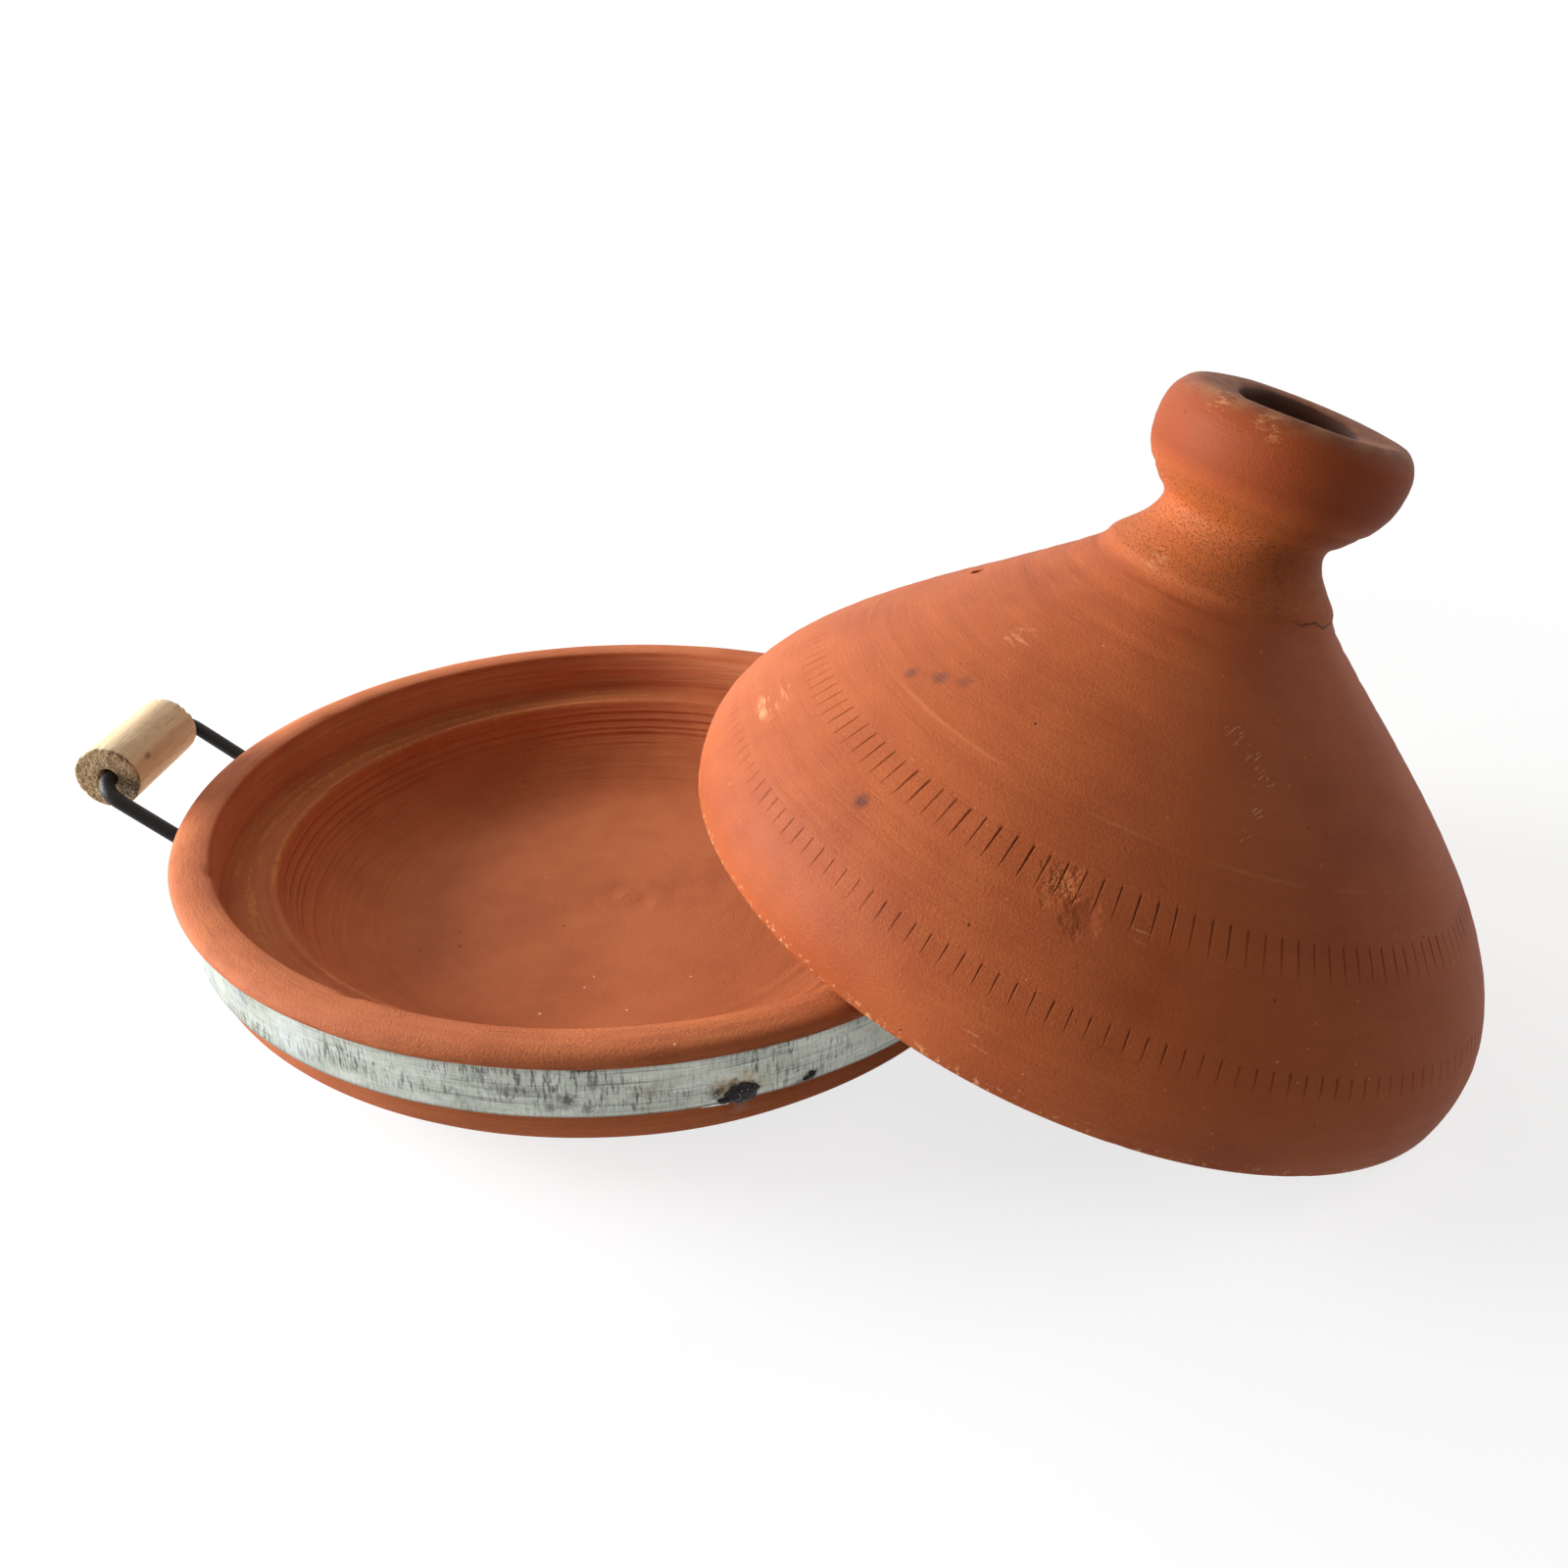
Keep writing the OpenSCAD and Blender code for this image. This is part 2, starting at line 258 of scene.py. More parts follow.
def amount(*parts):
    """How much of a mark a place gets, from 0 to 1: the product of the parts. A part is
    such a share itself, or (value, none, full): nothing at none, and rising to full."""
    share = None
    for part in parts:
        if isinstance(part, tuple):
            limits = dict(zip(("Value", "From Min", "From Max"), part))
            part = add(tree, "MapRange", limits).outputs[0]
        if share is None:
            share = part
        else:
            share = add(tree, "Math", {0: share, 1: part}, operation="MULTIPLY").outputs[0]
    return share


def within(value, low, high, soft):
    """1 where a value lies between low and high, with soft edges."""
    return amount((value, low, low + soft), (value, high, high - soft))


def stain(colour, tint, *parts):
    """Lays a tint over a colour, as much as the parts say, and gives the new colour."""
    laid = {0: amount(*parts), 6: colour, 7: linear(tint)}
    return add(tree, "Mix", laid, data_type="RGBA").outputs[2]


def clay_colours(tree, wheel, radius, height, round_way, slope, lit, deep, streak, worked):
    """Colour and relief of unglazed earthenware: mottled by the fire, streaked round the
    wheel's axis by wet hands, sandy, with pale grog and dark pits. slope says how radius
    and height add up to the distance along the wall, and worked, from 0 to 1, how much of
    the streaks a part of the surface keeps."""

    def rings(along, across, detail, rough=0.55):
        """Noise drawn out round the axis; across is rings per metre of wall."""
        wall = {0: radius, 1: slope, 2: height}
        run = add(tree, "Math", wall, operation="MULTIPLY_ADD").outputs[0]
        lift = add(tree, "CombineXYZ", {2: amount(run, across)}).outputs[0]
        turned = {0: round_way, "Scale": along}
        rim_way = add(tree, "VectorMath", turned, operation="SCALE").outputs[0]
        spot = add(tree, "VectorMath", {0: rim_way, 1: lift}, operation="ADD").outputs[0]
        drawn = {"Vector": spot, "Scale": 1.0, "Detail": detail, "Roughness": rough}
        return add(tree, "TexNoise", drawn).outputs["Fac"]

    # cloudy patches about 45 mm across, then 12 mm
    cloud = add(tree, "TexNoise", {"Vector": wheel, "Scale": 22.0, "Detail": 2.0})
    blotch = add(tree, "TexNoise", {"Vector": wheel, "Scale": 85.0, "Detail": 4.0})
    colour = stain(linear(deep), lit, (cloud.outputs["Fac"], 0.2, 0.62))
    colour = stain(colour, streak, (blotch.outputs["Fac"], 0.42, 0.75), 0.3)
    # streaks of slip drawn out by the hands, 5 mm and 1 mm apart
    broad = rings(2.2, 210.0, 3.0)
    fine = rings(6.0, 1000.0, 4.0, 0.62)
    colour = stain(colour, deep, (broad, 0.5, 0.74), 0.4, worked)
    colour = stain(colour, streak, (fine, 0.5, 0.8), 0.3, worked)
    colour = stain(colour, deep, (fine, 0.45, 0.25), 0.3, worked)
    broad = amount(broad, worked)
    fine = amount(fine, worked)
    # sand of about 0.5 mm, and grog and pits of 0.5 to 1 mm in a few cells of 5 to 8 mm
    grit = {"Vector": wheel, "Scale": 1300.0, "Detail": 3.0, "Roughness": 0.7}
    sand = add(tree, "TexNoise", grit).outputs["Fac"]
    colour = stain(colour, deep, (sand, 0.52, 0.75), 0.45)
    colour = stain(colour, streak, (sand, 0.45, 0.28), 0.35)
    grog = add(tree, "TexVoronoi", {"Vector": wheel, "Scale": 210.0}).outputs
    grog_on = amount((amount((grog["Distance"], 0.13, 0.07), grog["Color"]), 0.55, 0.9))
    colour = stain(colour, "#e39a68", grog_on, 0.55)
    pit = add(tree, "TexVoronoi", {"Vector": wheel, "Scale": 130.0}).outputs
    pit_on = amount((amount((pit["Distance"], 0.1, 0.05), pit["Color"]), 0.62, 0.85))
    colour = stain(colour, "#4f2413", pit_on, 0.75)
    return colour, rings, broad, fine, sand, grog_on, pit_on


def clay_finish(tree, out, colour, rough, raised, sunk, gloss):
    """Closes a clay material, with what stands up from it and what lies sunk in it, each
    (mark, height or depth in metres)."""
    normal = None
    bumps = list(raised)
    for mark, depth in sunk:
        left = add(tree, "Math", {0: 1.0, 1: mark}, operation="SUBTRACT").outputs[0]
        bumps.append((left, depth))
    for mark, distance in bumps:
        inputs = {"Height": mark, "Distance": distance, "Strength": 1.0}
        if normal is not None:
            inputs["Normal"] = normal
        normal = add(tree, "Bump", inputs).outputs[0]
    shader = add(
        tree,
        "BsdfPrincipled",
        {
            "Base Color": colour,
            "Roughness": rough,
            "IOR": 1.45,
            "Specular IOR Level": gloss,
            "Normal": normal,
        },
    )
    tree.links.new(shader.outputs[0], out.inputs["Surface"])


rim_r, rim_top, foot_r = 150.0, 56.5, 113.0
seat_r, bead_low, band_low = 145.3, 50.7, 32.65
mouth_r, mouth_z, crown_r = 138.0, 55.5, 143.5
gallery_r, gallery_z, lip_r = 137.2, 38.0, 121.0
floor_r, floor_t = 80.0, 8.5
bead_mid = rim_top - 5.8 * 0.55
shoulder_z = band_low - 1.2

foot_edge = (foot_r + 1.5, 1.2)
shoulder = (seat_r - 0.6, shoulder_z)
bead_under = (rim_r - 2.35, bead_low)
bead_out = (rim_r, bead_mid)
crown = (crown_r, rim_top)
mouth = (mouth_r, mouth_z)
mouth_under = (mouth_r - 1.2, mouth_z - 1)
ledge_out = (gallery_r, gallery_z + 1.5)
ledge = (gallery_r - 2, gallery_z)
lip_start = (lip_r + 2, gallery_z)
lip = (lip_r, gallery_z + 0.6)
bowl_top = (lip_r - 1.8, gallery_z - 3)
bowl_low = (floor_r, floor_t + 1)
bowl_h = gallery_z - floor_t
dish_outline = (
    [(0, 0)]
    + line((0, 0), (foot_r, 0), 9)
    + [foot_edge]
    + curve(foot_edge, (foot_r + 20, 16), (seat_r - 1.5, shoulder_z - 15), shoulder, 20)
    + [(seat_r, shoulder_z + 1.2)]
    + line((seat_r, shoulder_z + 1.2), (seat_r, bead_low), 5)
    + [bead_under]
    + curve(bead_under, (rim_r - 0.6, bead_low), (rim_r, bead_mid - 1.2), bead_out, 8)
    + curve(bead_out, (rim_r, rim_top - 1), (crown_r + 3.6, rim_top), crown, 12)
    + curve(crown, (crown_r - 2.4, rim_top), (mouth_r + 1, mouth_z + 0.5), mouth, 8)
    + curve(mouth, mouth_under, (gallery_r + 0.2, gallery_z + 8), ledge_out, 20)
    + curve(ledge_out, (gallery_r, gallery_z + 0.4), (ledge[0] + 0.8, gallery_z), ledge, 5)
    + line(ledge, lip_start, 10)
    + curve(lip_start, (lip_r + 1.2, gallery_z + 0.5), (lip_r + 0.6, gallery_z + 0.6), lip, 4)
    + curve(lip, (lip_r - 1, gallery_z + 0.4), (lip_r - 1.6, gallery_z - 1), bowl_top, 6)
    + curve(
        bowl_top,
        (lip_r - 5, floor_t + bowl_h * 0.42),
        (floor_r + 20, floor_t + 2.4),
        bowl_low,
        104,
    )
    + curve(bowl_low, (floor_r - 14, floor_t), (floor_r - 30, floor_t), (18, floor_t), 22)
    + line((18, floor_t), (0, floor_t), 14)
)

bm = throw(dish_outline, 300)
bmesh.ops.recalc_face_normals(bm, faces=bm.faces)
bm.normal_update()


def bell(x, centre, width):
    """A smooth hump of height 1 at centre."""
    return math.exp(-(((x - centre) / width) ** 2))


# the ridges that the fingers left below the ledge: height on the wall, width, depth, mm
finger_ridges = (
    (34.0, 0.5, 0.5),
    (32.6, 0.35, -0.5),
    (30.4, 0.55, 0.8),
    (29.2, 0.3, -0.5),
    (27.3, 0.45, 0.75),
    (26.3, 0.28, -0.6),
    (25.2, 0.4, 0.7),
    (24.0, 0.3, -0.35),
    (21.6, 0.45, 0.55),
    (19.4, 0.35, -0.25),
    (17.2, 0.4, 0.45),
    (14.6, 0.5, 0.25),
)
# knocks on the rim's inner edge: direction in degrees, width in degrees, depth in mm
rim_knocks = (
    (-114.7, 0.8, 0.9),
    (-152.3, 0.9, 1.0),
    (156.4, 0.8, 0.9),
    (148.1, 0.6, 0.8),
    (-60.0, 1.2, 0.5),
)
moves = []
for v in bm.verts:
    x, y, z = v.co * 1000
    r = math.hypot(x, y)
    way = math.atan2(y, x)
    degrees = math.degrees(way)
    around = Vector((math.cos(way), math.sin(way), 0))
    push = 0.0
    inside = r < 120 and z > floor_t + 0.4 and v.normal.z > 0.02
    if inside:
        wander = noise.noise(around * 1.7) * 0.7 + noise.noise(around * 6) * 0.12
        for ridge, width, depth in finger_ridges:
            fade = 0.75 + 0.5 * noise.noise(around * 2.2 + Vector((0, 0, ridge)))
            push += depth * fade * bell(z, ridge + wander, width)
        push += 0.2 * noise.noise(Vector((around.x * 2, around.y * 2, z * 0.8)))
    if r < 92 and z > 5:
        # floor: faint rings, a spiral and a low button at the centre
        turn = math.sin(way + r * 0.55)
        push += 0.1 * turn * bell(r, 9, 9)
        push += 0.3 * bell(r, 0, 3.2) - 0.28 * bell(r, 7, 3.0)
        push += 0.12 * noise.noise(Vector((around.x, around.y, r * 0.35)))
        push += 0.14 * noise.noise(Vector((x * 0.02, y * 0.02, 3.0)))
    if r > 122 and 36 < z < 54.5 and v.normal.dot(around) < 0.4:
        # gallery wall and ledge
        push += 0.28 * noise.noise(Vector((around.x * 2.4, around.y * 2.4, z * 0.9)))
        push += 0.3 * bell(z, 47.5, 0.7) * (0.6 + noise.noise(around * 3))
    if z > bead_low - 0.5:
        # the rim is a little uneven where the hand let go
        push += 0.22 * noise.noise(around * 3.1 + Vector((0, 0, z * 0.02)))
        push += 0.12 * noise.noise(Vector((x * 0.05, y * 0.05, z * 0.4)))
        for knock, width, depth in rim_knocks:
            off = (degrees - knock + 180) % 360 - 180
            if abs(off) < 4 and r < 140.5:
                push -= depth * bell(off, 0, width) * bell(r, 138, 1.3)
    if z < shoulder_z and v.normal.z < 0.3 and r > 60:
        push += 0.25 * noise.noise(Vector((around.x * 2, around.y * 2, z * 0.35)))
        push -= 0.25 * bell(z, 19, 0.8) * (0.7 + noise.noise(around * 2.3))
    moves.append(v.normal * (push / 1000))
for v, move in zip(bm.verts, moves):
    v.co += move
    v.co.z = max(v.co.z, 0.0)

# red earthenware, fired and never glazed: matt, sandy, and mottled by the fire
clay_dish, tree, out, wheel, flat_place, radius, height, round_way = clay_body(
    "earthenware_dish_unglazed", Matrix.Identity(4)
)
# the bowl's wall and the wall under the rim keep the streaks, the floor and rim are smooth
worked = amount((radius, 0.078, 0.094), (height, 0.0535, 0.0505))
worked = add(tree, "Math", {0: worked, 1: 0.8, 2: 0.2}, operation="MULTIPLY_ADD").outputs[0]
colour, rings, broad, fine, sand, grog_on, pit_on = clay_colours(
    tree, wheel, radius, height, round_way, 1.0, "#c46e43", "#ae5c36", "#d07848", worked
)


def blot(at, centre, size, ragged=0.6, stretch=(1, 1, 1), grain=1.6, core=0.45):
    """How much a place lies in a soft mark round centre. ragged breaks its edge up, in
    spots of size / grain, and the mark is full inside core."""
    away = add(tree, "VectorMath", {0: at, 1: centre}, operation="SUBTRACT").outputs[0]
    away = add(tree, "VectorMath", {0: away, 1: stretch}, operation="MULTIPLY").outputs[0]
    far = add(tree, "VectorMath", {0: away}, operation="LENGTH").outputs["Value"]
    spots = {"Vector": at, "Scale": grain / size, "Detail": 4.0}
    broken = add(tree, "TexNoise", spots).outputs["Fac"]
    bitten = {0: broken, 1: ragged * size * 2, 2: far}
    reach = add(tree, "Math", bitten, operation="MULTIPLY_ADD").outputs[0]
    return amount((reach, size * (1.0 + ragged), size * (core + ragged * 0.8)))


def facing(degrees):
    """How squarely a place on the wheel faces a direction, from -1 to 1."""
    way = (math.cos(math.radians(degrees)), math.sin(math.radians(degrees)), 0)
    turned = add(tree, "VectorMath", {0: round_way, 1: way}, operation="DOT_PRODUCT")
    return turned.outputs["Value"]


# ochre slip left on the lid's ledge, in broken runs
at_back_left = amount((facing(152), 0.35, 0.7))
torn = add(tree, "TexNoise", {"Vector": wheel, "Scale": 420.0, "Detail": 4.0}).outputs["Fac"]
for middle, wide, tint, strength in (
    (0.1290, 0.0036, "#b56c38", 0.55),
    (0.1282, 0.0024, "#d68a4a", 0.85),
    (0.1335, 0.0018, "#d08446", 0.6),
    (0.1208, 0.0016, "#d08244", 0.8),
):
    run = within(radius, middle - wide, middle + wide, 0.0012)
    run = amount(run, within(height, 0.0355, 0.0405, 0.001), at_back_left)
    broken = amount((rings(3.4, 120.0 + middle * 900 + wide * 9000, 4.0, 0.7), 0.45, 0.53))
    colour = stain(colour, tint, run, broken, (torn, 0.38, 0.54), strength)
# crumbs of pale clay and small dark pits in the floor: x, y in mm, size, tint
for x, y, size, tint in (
    (-5.0, -51.5, 0.6, "#f0c9a6"),
    (-7.2, -57.8, 0.6, "#f0c9a6"),
    (-19.5, -73.1, 0.9, "#f0c9a6"),
    (8.6, -70.3, 0.7, "#f0c9a6"),
    (28.4, -50.7, 0.6, "#f0c9a6"),
    (31.8, -144.0, 0.5, "#f0c9a6"),
    (44.0, -31.0, 0.5, "#e9b890"),
    (-33.0, 12.0, 0.5, "#e9b890"),
    (-20.5, -20.7, 0.9, "#5c2b18"),
    (-55.0, -35.5, 0.9, "#5c2b18"),
    (-57.2, -26.9, 0.7, "#5c2b18"),
    (-67.8, -39.6, 0.7, "#5c2b18"),
    (-60.8, -53.3, 0.6, "#6a3520"),
    (12.0, 31.0, 0.6, "#6a3520"),
):
    crumb = {0: flat_place, 1: (x / 1000, y / 1000, 0)}
    off = add(tree, "VectorMath", crumb, operation="DISTANCE").outputs["Value"]
    bitten = {0: sand, 1: size / 1000, 2: off}
    ragged = add(tree, "Math", bitten, operation="MULTIPLY_ADD").outputs[0]
    near = amount((ragged, size * 1.3 / 1000, size * 0.9 / 1000))
    colour = stain(colour, tint, near, 0.85)
# the rim is rubbed paler on its crown
on_rim = amount(within(height, 0.0545, 0.0572, 0.0008), within(radius, 0.1385, 0.149, 0.002))
rubbed = amount(on_rim, (rings(5.0, 500.0, 4.0), 0.42, 0.7))
colour = stain(colour, "#da8a58", rubbed, 0.25)
# streaks on the rim, painted shade in streaks under the bead where it meets the hoop, and
# painted light that makes the wall between rim and ledge paler
rim_streaks = amount((height, 0.05, 0.0515), (rings(8.0, 430.0, 4.0, 0.7), 0.5, 0.66))
colour = stain(colour, "#9a5230", rim_streaks, 0.4)
# painted shade: the underside of the bead, where it meets the hoop, is darkened in streaks
under_bead = amount(within(height, 0.049, 0.0535, 0.0014), (radius, 0.146, 0.148))
bead_shade = amount(under_bead, (rings(22.0, 700.0, 4.0, 0.75), 0.46, 0.58))
colour = stain(colour, "#6e3c24", bead_shade, 0.6)
# painted light: the wall between rim and ledge, which lies in shade inside the mouth, is made
# paler
on_gallery = within(height, 0.0395, 0.054, 0.003)
colour = stain(colour, "#dc9468", on_gallery, within(radius, 0.1335, 0.1425, 0.002), 0.4)
# pale smoke on the wall under the hoop's weld
for where, tint, strength in (
    ((0.0472, -0.1345, 0.0295), "#c4aaa0", 0.4),
    ((0.0455, -0.1352, 0.0312), "#5a3226", 0.5),
):
    colour = stain(colour, tint, blot(wheel, where, 0.0032, 0.8, (1, 1, 0.55)), strength)
# dry clay, a little smoother on the streaks
dry = {"Value": fine, "From Min": 0.1, "From Max": 0.6, "To Min": 0.7, "To Max": 0.85}
rough = add(tree, "MapRange", dry).outputs[0]
clay_finish(
    tree,
    out,
    colour,
    rough,
    ((broad, 0.0013), (fine, 0.00045), (sand, 0.0003), (grog_on, 0.00012)),
    ((pit_on, 0.0005),),
    0.2,
)

dish_piece = new_piece("dish_thrown", bm, clay_dish)
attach(dish_piece, "dish_body")
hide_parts("dish")

# ---------------------------------------------------------------------------------
# Lid. The same earthenware, thrown thinner: a cone with a collar, a neck and a flared
# hollow knob. Two rings of ticks are cut round it with a blade before firing. It leans
# on the dish's rim, so its mesh is made upright and then laid in its place.
# ---------------------------------------------------------------------------------

lid_lean, lid_way = math.radians(15.9), math.radians(-8)
lid_out, lid_up = 0.16248461, 0.03755845
lid_place = (
    Matrix.Rotation(lid_way, 4, "Z")
    @ Matrix.Translation((lid_out, 0, lid_up))
    @ Matrix.Rotation(lid_lean, 4, "Y")
)
edge_r, belly_r, belly_h = 136.0, 136.4, 8.0
collar_r, collar_h, neck_r, neck_h = 36.0, 116.0, 25.5, 131.5
knob_r, knob_belly_h, lid_h = 37.4, 168.5 - 37 * 0.38, 168.5
well_r, well_floor_h = 17.0, 139.5
inner_r, inner_top_h = 128.5, 109.2

edge = (edge_r, 1.6)
belly = (belly_r, belly_h)
collar = (collar_r, collar_h)
collar_low = (collar_r + 3.2, collar_h - 4.5)
neck = (neck_r, neck_h)
knob = (knob_r, knob_belly_h)
knob_top = (well_r + 6, lid_h)
well_mouth = (well_r + 0.8, lid_h - 1.8)
well_side = (well_r + 0.5, well_floor_h + 10)
hollow_top = (collar_r - 7.5, inner_top_h - 6)
hollow_side = (inner_r + 0.4, belly_h)
cone = curve(belly, (belly_r, 44.846), (76.9136, 79.9325), collar_low, 120)


def height_cut(points, low, high):
    """The points of an outline that lie between two heights."""
    return [p for p in points if low <= p[1] <= high]


# the cone's wall is split where the two rings of ticks are cut: height from, height to,
# ticks and depth, all in mm, and the direction in which the blade went deepest
tick_rings = (
    {"low": 24.2, "high": 30.6, "count": 165, "depth": 0.5, "strongest": math.radians(-110)},
    {"low": 48.7, "high": 56.2, "count": 140, "depth": 0.9, "strongest": math.radians(-60)},
)
plain_turns = 280
hollow_end = (0, inner_top_h + 3)
hollow_bend = (hollow_top[0] - 10, hollow_top[1] + 8.5)
below = (
    [hollow_end]
    + curve(hollow_end, (14, inner_top_h + 3), hollow_bend, hollow_top, 8)
    + curve(hollow_top, (66.2, 71.6), (inner_r + 0.4, belly_h + 31), hollow_side, 26)
    + curve(hollow_side, (inner_r + 0.4, 6), (inner_r, 4), (inner_r, 1.6), 4)
    + curve((inner_r, 1.6), (inner_r, 0.5), (inner_r + 0.5, 0), (inner_r + 1.6, 0), 4)
    + line((inner_r + 1.6, 0), (edge_r - 1.6, 0), 4)
    + curve((edge_r - 1.6, 0), (edge_r - 0.5, 0), (edge_r, 0.5), edge, 4)
    + curve(edge, (edge_r + 0.2, 3.5), (belly_r, belly_h - 4), belly, 6)
    + height_cut(cone, belly_h + 0.01, 23.2)
)
between = height_cut(cone, 31.6, 47.6)
collar_bend = (collar_low[0] - 1, collar_low[1] + 0.9)
mouth_bend = (well_r - 0.2, lid_h - 5.5)
well_corner = (well_r + 0.4, well_floor_h + 2)
above = (
    height_cut(cone, 57.3, 111.4)
    + [collar_low]
    + curve(collar_low, collar_bend, (collar_r + 0.3, collar_h - 1.8), collar, 6)
    + curve(collar, (collar_r - 0.4, collar_h + 2.6), (neck_r + 0.4, neck_h - 7), neck, 14)
    + curve(neck, (neck_r - 0.2, neck_h + 5.5), (knob_r - 0.4, neck_h + 7), knob, 20)
    + curve(knob, (knob_r + 0.4, knob_belly_h + 9.5), (knob_r - 6, lid_h + 0.5), knob_top, 18)
    + curve(knob_top, (well_r + 3.5, lid_h - 0.1), (well_r + 1.5, lid_h - 0.5), well_mouth, 9)
    + curve(well_mouth, mouth_bend, (well_r + 0.5, well_floor_h + 15), well_side, 8)
    + curve(well_side, well_corner, (well_r - 5, well_floor_h), (0, well_floor_h), 8)
)

bm = bmesh.new()
bm.verts.layers.float.new("cut")


def join(bm, part):
    """Adds one bmesh to another."""
    mesh = bpy.data.meshes.new("part")
    part.to_mesh(mesh)
    part.free()
    bm.from_mesh(mesh)
    bpy.data.meshes.remove(mesh)


for stretch in (below, between, above):
    join(bm, throw(stretch, plain_turns))


def cone_at(h):
    """Radius and height of the cone's wall at a height."""
    for a, b in zip(cone, cone[1:]):
        if a[1] <= h <= b[1]:
            t = (h - a[1]) / (b[1] - a[1])
            return (a[0] + (b[0] - a[0]) * t, h)


# the cone's wall faces this much outwards and this much up, at the ticks
face_out, face_up = 0.72, 0.69
for ring in tick_rings:
    # six columns to a tick: one on the wall between ticks, and from 1 to 5 the wall beside
    # the cut, its lip, its bottom, its other lip and the wall again
    low, high, count = ring["low"], ring["high"], ring["count"]
    heights = [low - 0.7, low, low + 0.5]
    heights += [low + 0.5 + (high - low - 1.0) * i / 4 for i in range(1, 5)]
    heights += [high, high + 0.7]
    part = throw([cone_at(h) for h in heights], count * 6)
    part_cut = part.verts.layers.float.new("cut")
    for v in part.verts:
        x, y, h = v.co * 1000
        pitch = math.tau / count / 6
        column = round((math.atan2(y, x) % math.tau) / math.tau * count * 6)
        tick, lane = divmod(column, 6)
        tick %= count
        row = min(range(len(heights)), key=lambda i: abs(heights[i] - h))
        if row in (0, len(heights) - 1):
            continue
        hand = Vector((tick * 0.71, low, 0.3))
        shift = 0.22 * noise.noise(hand * 3.3)
        slant = 0.06 * noise.noise(hand * 1.9 + Vector((7, 0, 0)))
        wide = 1.0 + 0.5 * noise.noise(hand * 2.1 + Vector((0, 5, 0)))
        strong = 0.85 + 0.5 * noise.noise(hand * 1.1 + Vector((0, 0, 9)))
        strong *= 1 + 0.3 * math.cos(column * pitch - ring["strongest"])
        along = (h - low) / (high - low)
        place = {1: -0.58, 2: -0.46, 3: 0.0, 4: 0.46, 5: 0.58}.get(lane)
        turn = (shift + slant * (along - 0.5) * 6) * pitch
        if place is not None:
            taper = 0.45 + 0.55 * along
            turn += (place * wide * taper - (lane - 3)) * pitch
        # the blade goes in deep at the top and lifts out towards the bottom
        bite = min(1, max(0, along * 5)) * min(1, max(0, (1 - along) * 14))
        bite *= 0.45 + 0.55 * along
        sink = 0.0
        if lane == 3:
            sink = -ring["depth"] * bite * strong
            v[part_cut] = bite * min(1, strong)
        spot = Matrix.Rotation(turn, 3, "Z") @ v.co
        level = Vector((spot.x, spot.y, 0)).normalized()
        outwards = level * face_out + Vector((0, 0, face_up))
        slip = 0.45 * noise.noise(hand * 0.8 + Vector((3, 3, 0))) if lane else 0
        downhill = level * face_up - Vector((0, 0, face_out))
        v.co = spot + outwards * (sink / 1000) + downhill * (slip / 1000)
    join(bm, part)

# bridge the open edges in pairs, from the lowest up
open_edges = [e for e in bm.edges if len(e.link_faces) == 1]
loops = {}
for e in open_edges:
    level = sum(v.co.z for v in e.verts) / 2
    key = next((k for k in loops if abs(k - level) < 0.0002), level)
    loops.setdefault(key, []).append(e)
levels = sorted(loops)
for low, high in zip(levels[0::2], levels[1::2]):
    bmesh.ops.bridge_loops(bm, edges=loops[low] + loops[high])
bmesh.ops.remove_doubles(bm, verts=bm.verts, dist=0.00002)
bmesh.ops.recalc_face_normals(bm, faces=bm.faces)
bm.normal_update()

moves = []
for v in bm.verts:
    x, y, h = v.co * 1000
    r = math.hypot(x, y)
    way = math.atan2(y, x)
    around = Vector((math.cos(way), math.sin(way), 0))
    push = 0.0
    outside = v.normal.dot(around) > -0.2 and h > 2
    if outside and h < 112:
        # the cone is a touch lumpy, with slow rings from the thrower's rib
        push += 0.5 * noise.noise(Vector((around.x * 1.4, around.y * 1.4, h * 0.018)))
        push += 0.14 * noise.noise(Vector((around.x * 2, around.y * 2, h * 0.45)))
        push += 0.1 * noise.noise(Vector((x * 0.06, y * 0.06, h * 0.06)))
        push -= 0.35 * bell(h, 106.5, 1.2) * (0.6 + 0.6 * noise.noise(around * 2))
        push -= 0.25 * bell(h, 99.5, 1.0) * (0.5 + 0.6 * noise.noise(around * 2.6))
    elif outside:
        push += 0.35 * noise.noise(Vector((around.x * 1.2, around.y * 1.2, h * 0.04)))
        push += 0.12 * noise.noise(Vector((around.x * 1.6, around.y * 1.6, h * 0.5)))
        push -= 0.5 * bell(h, 140.2, 0.9) * (0.8 + 0.4 * noise.noise(around * 2))
        push += 0.3 * bell(h, 136.5, 1.2)
    elif h > 2 and r < 129:
        push += 0.3 * noise.noise(Vector((around.x * 2, around.y * 2, h * 0.4)))
    if h < 4 and r > 126:
        # chips and wobble along the bottom edge
        nick = noise.noise(Vector((around.x * 30, around.y * 30, 2.0)))
        push += 0.15 * noise.noise(around * 3.0) - 0.5 * max(0.0, nick - 0.35)
    # the knob's mouth was trimmed askew, and lies up to 4 mm lower on its front side
    front = around.dot(Vector((0.14, -0.99, 0)))
    in_mouth = min(1, max(0, (33.5 - r) / 10)) * min(1, max(0, (h - 150) / 14))
    sag = (2.0 + 2.1 * front) * in_mouth * in_mouth * (3 - 2 * in_mouth) if h > 150 else 0
    # the ticks move square to the wall as a whole, so that their lips stay crisp
    ticked = outside and 23 < h < 58
    out_way = around * face_out + Vector((0, 0, face_up)) if ticked else v.normal
    moves.append(out_way * (push / 1000) - Vector((0, 0, max(0, sag) / 1000)))
for v, move in zip(bm.verts, moves):
    v.co += move

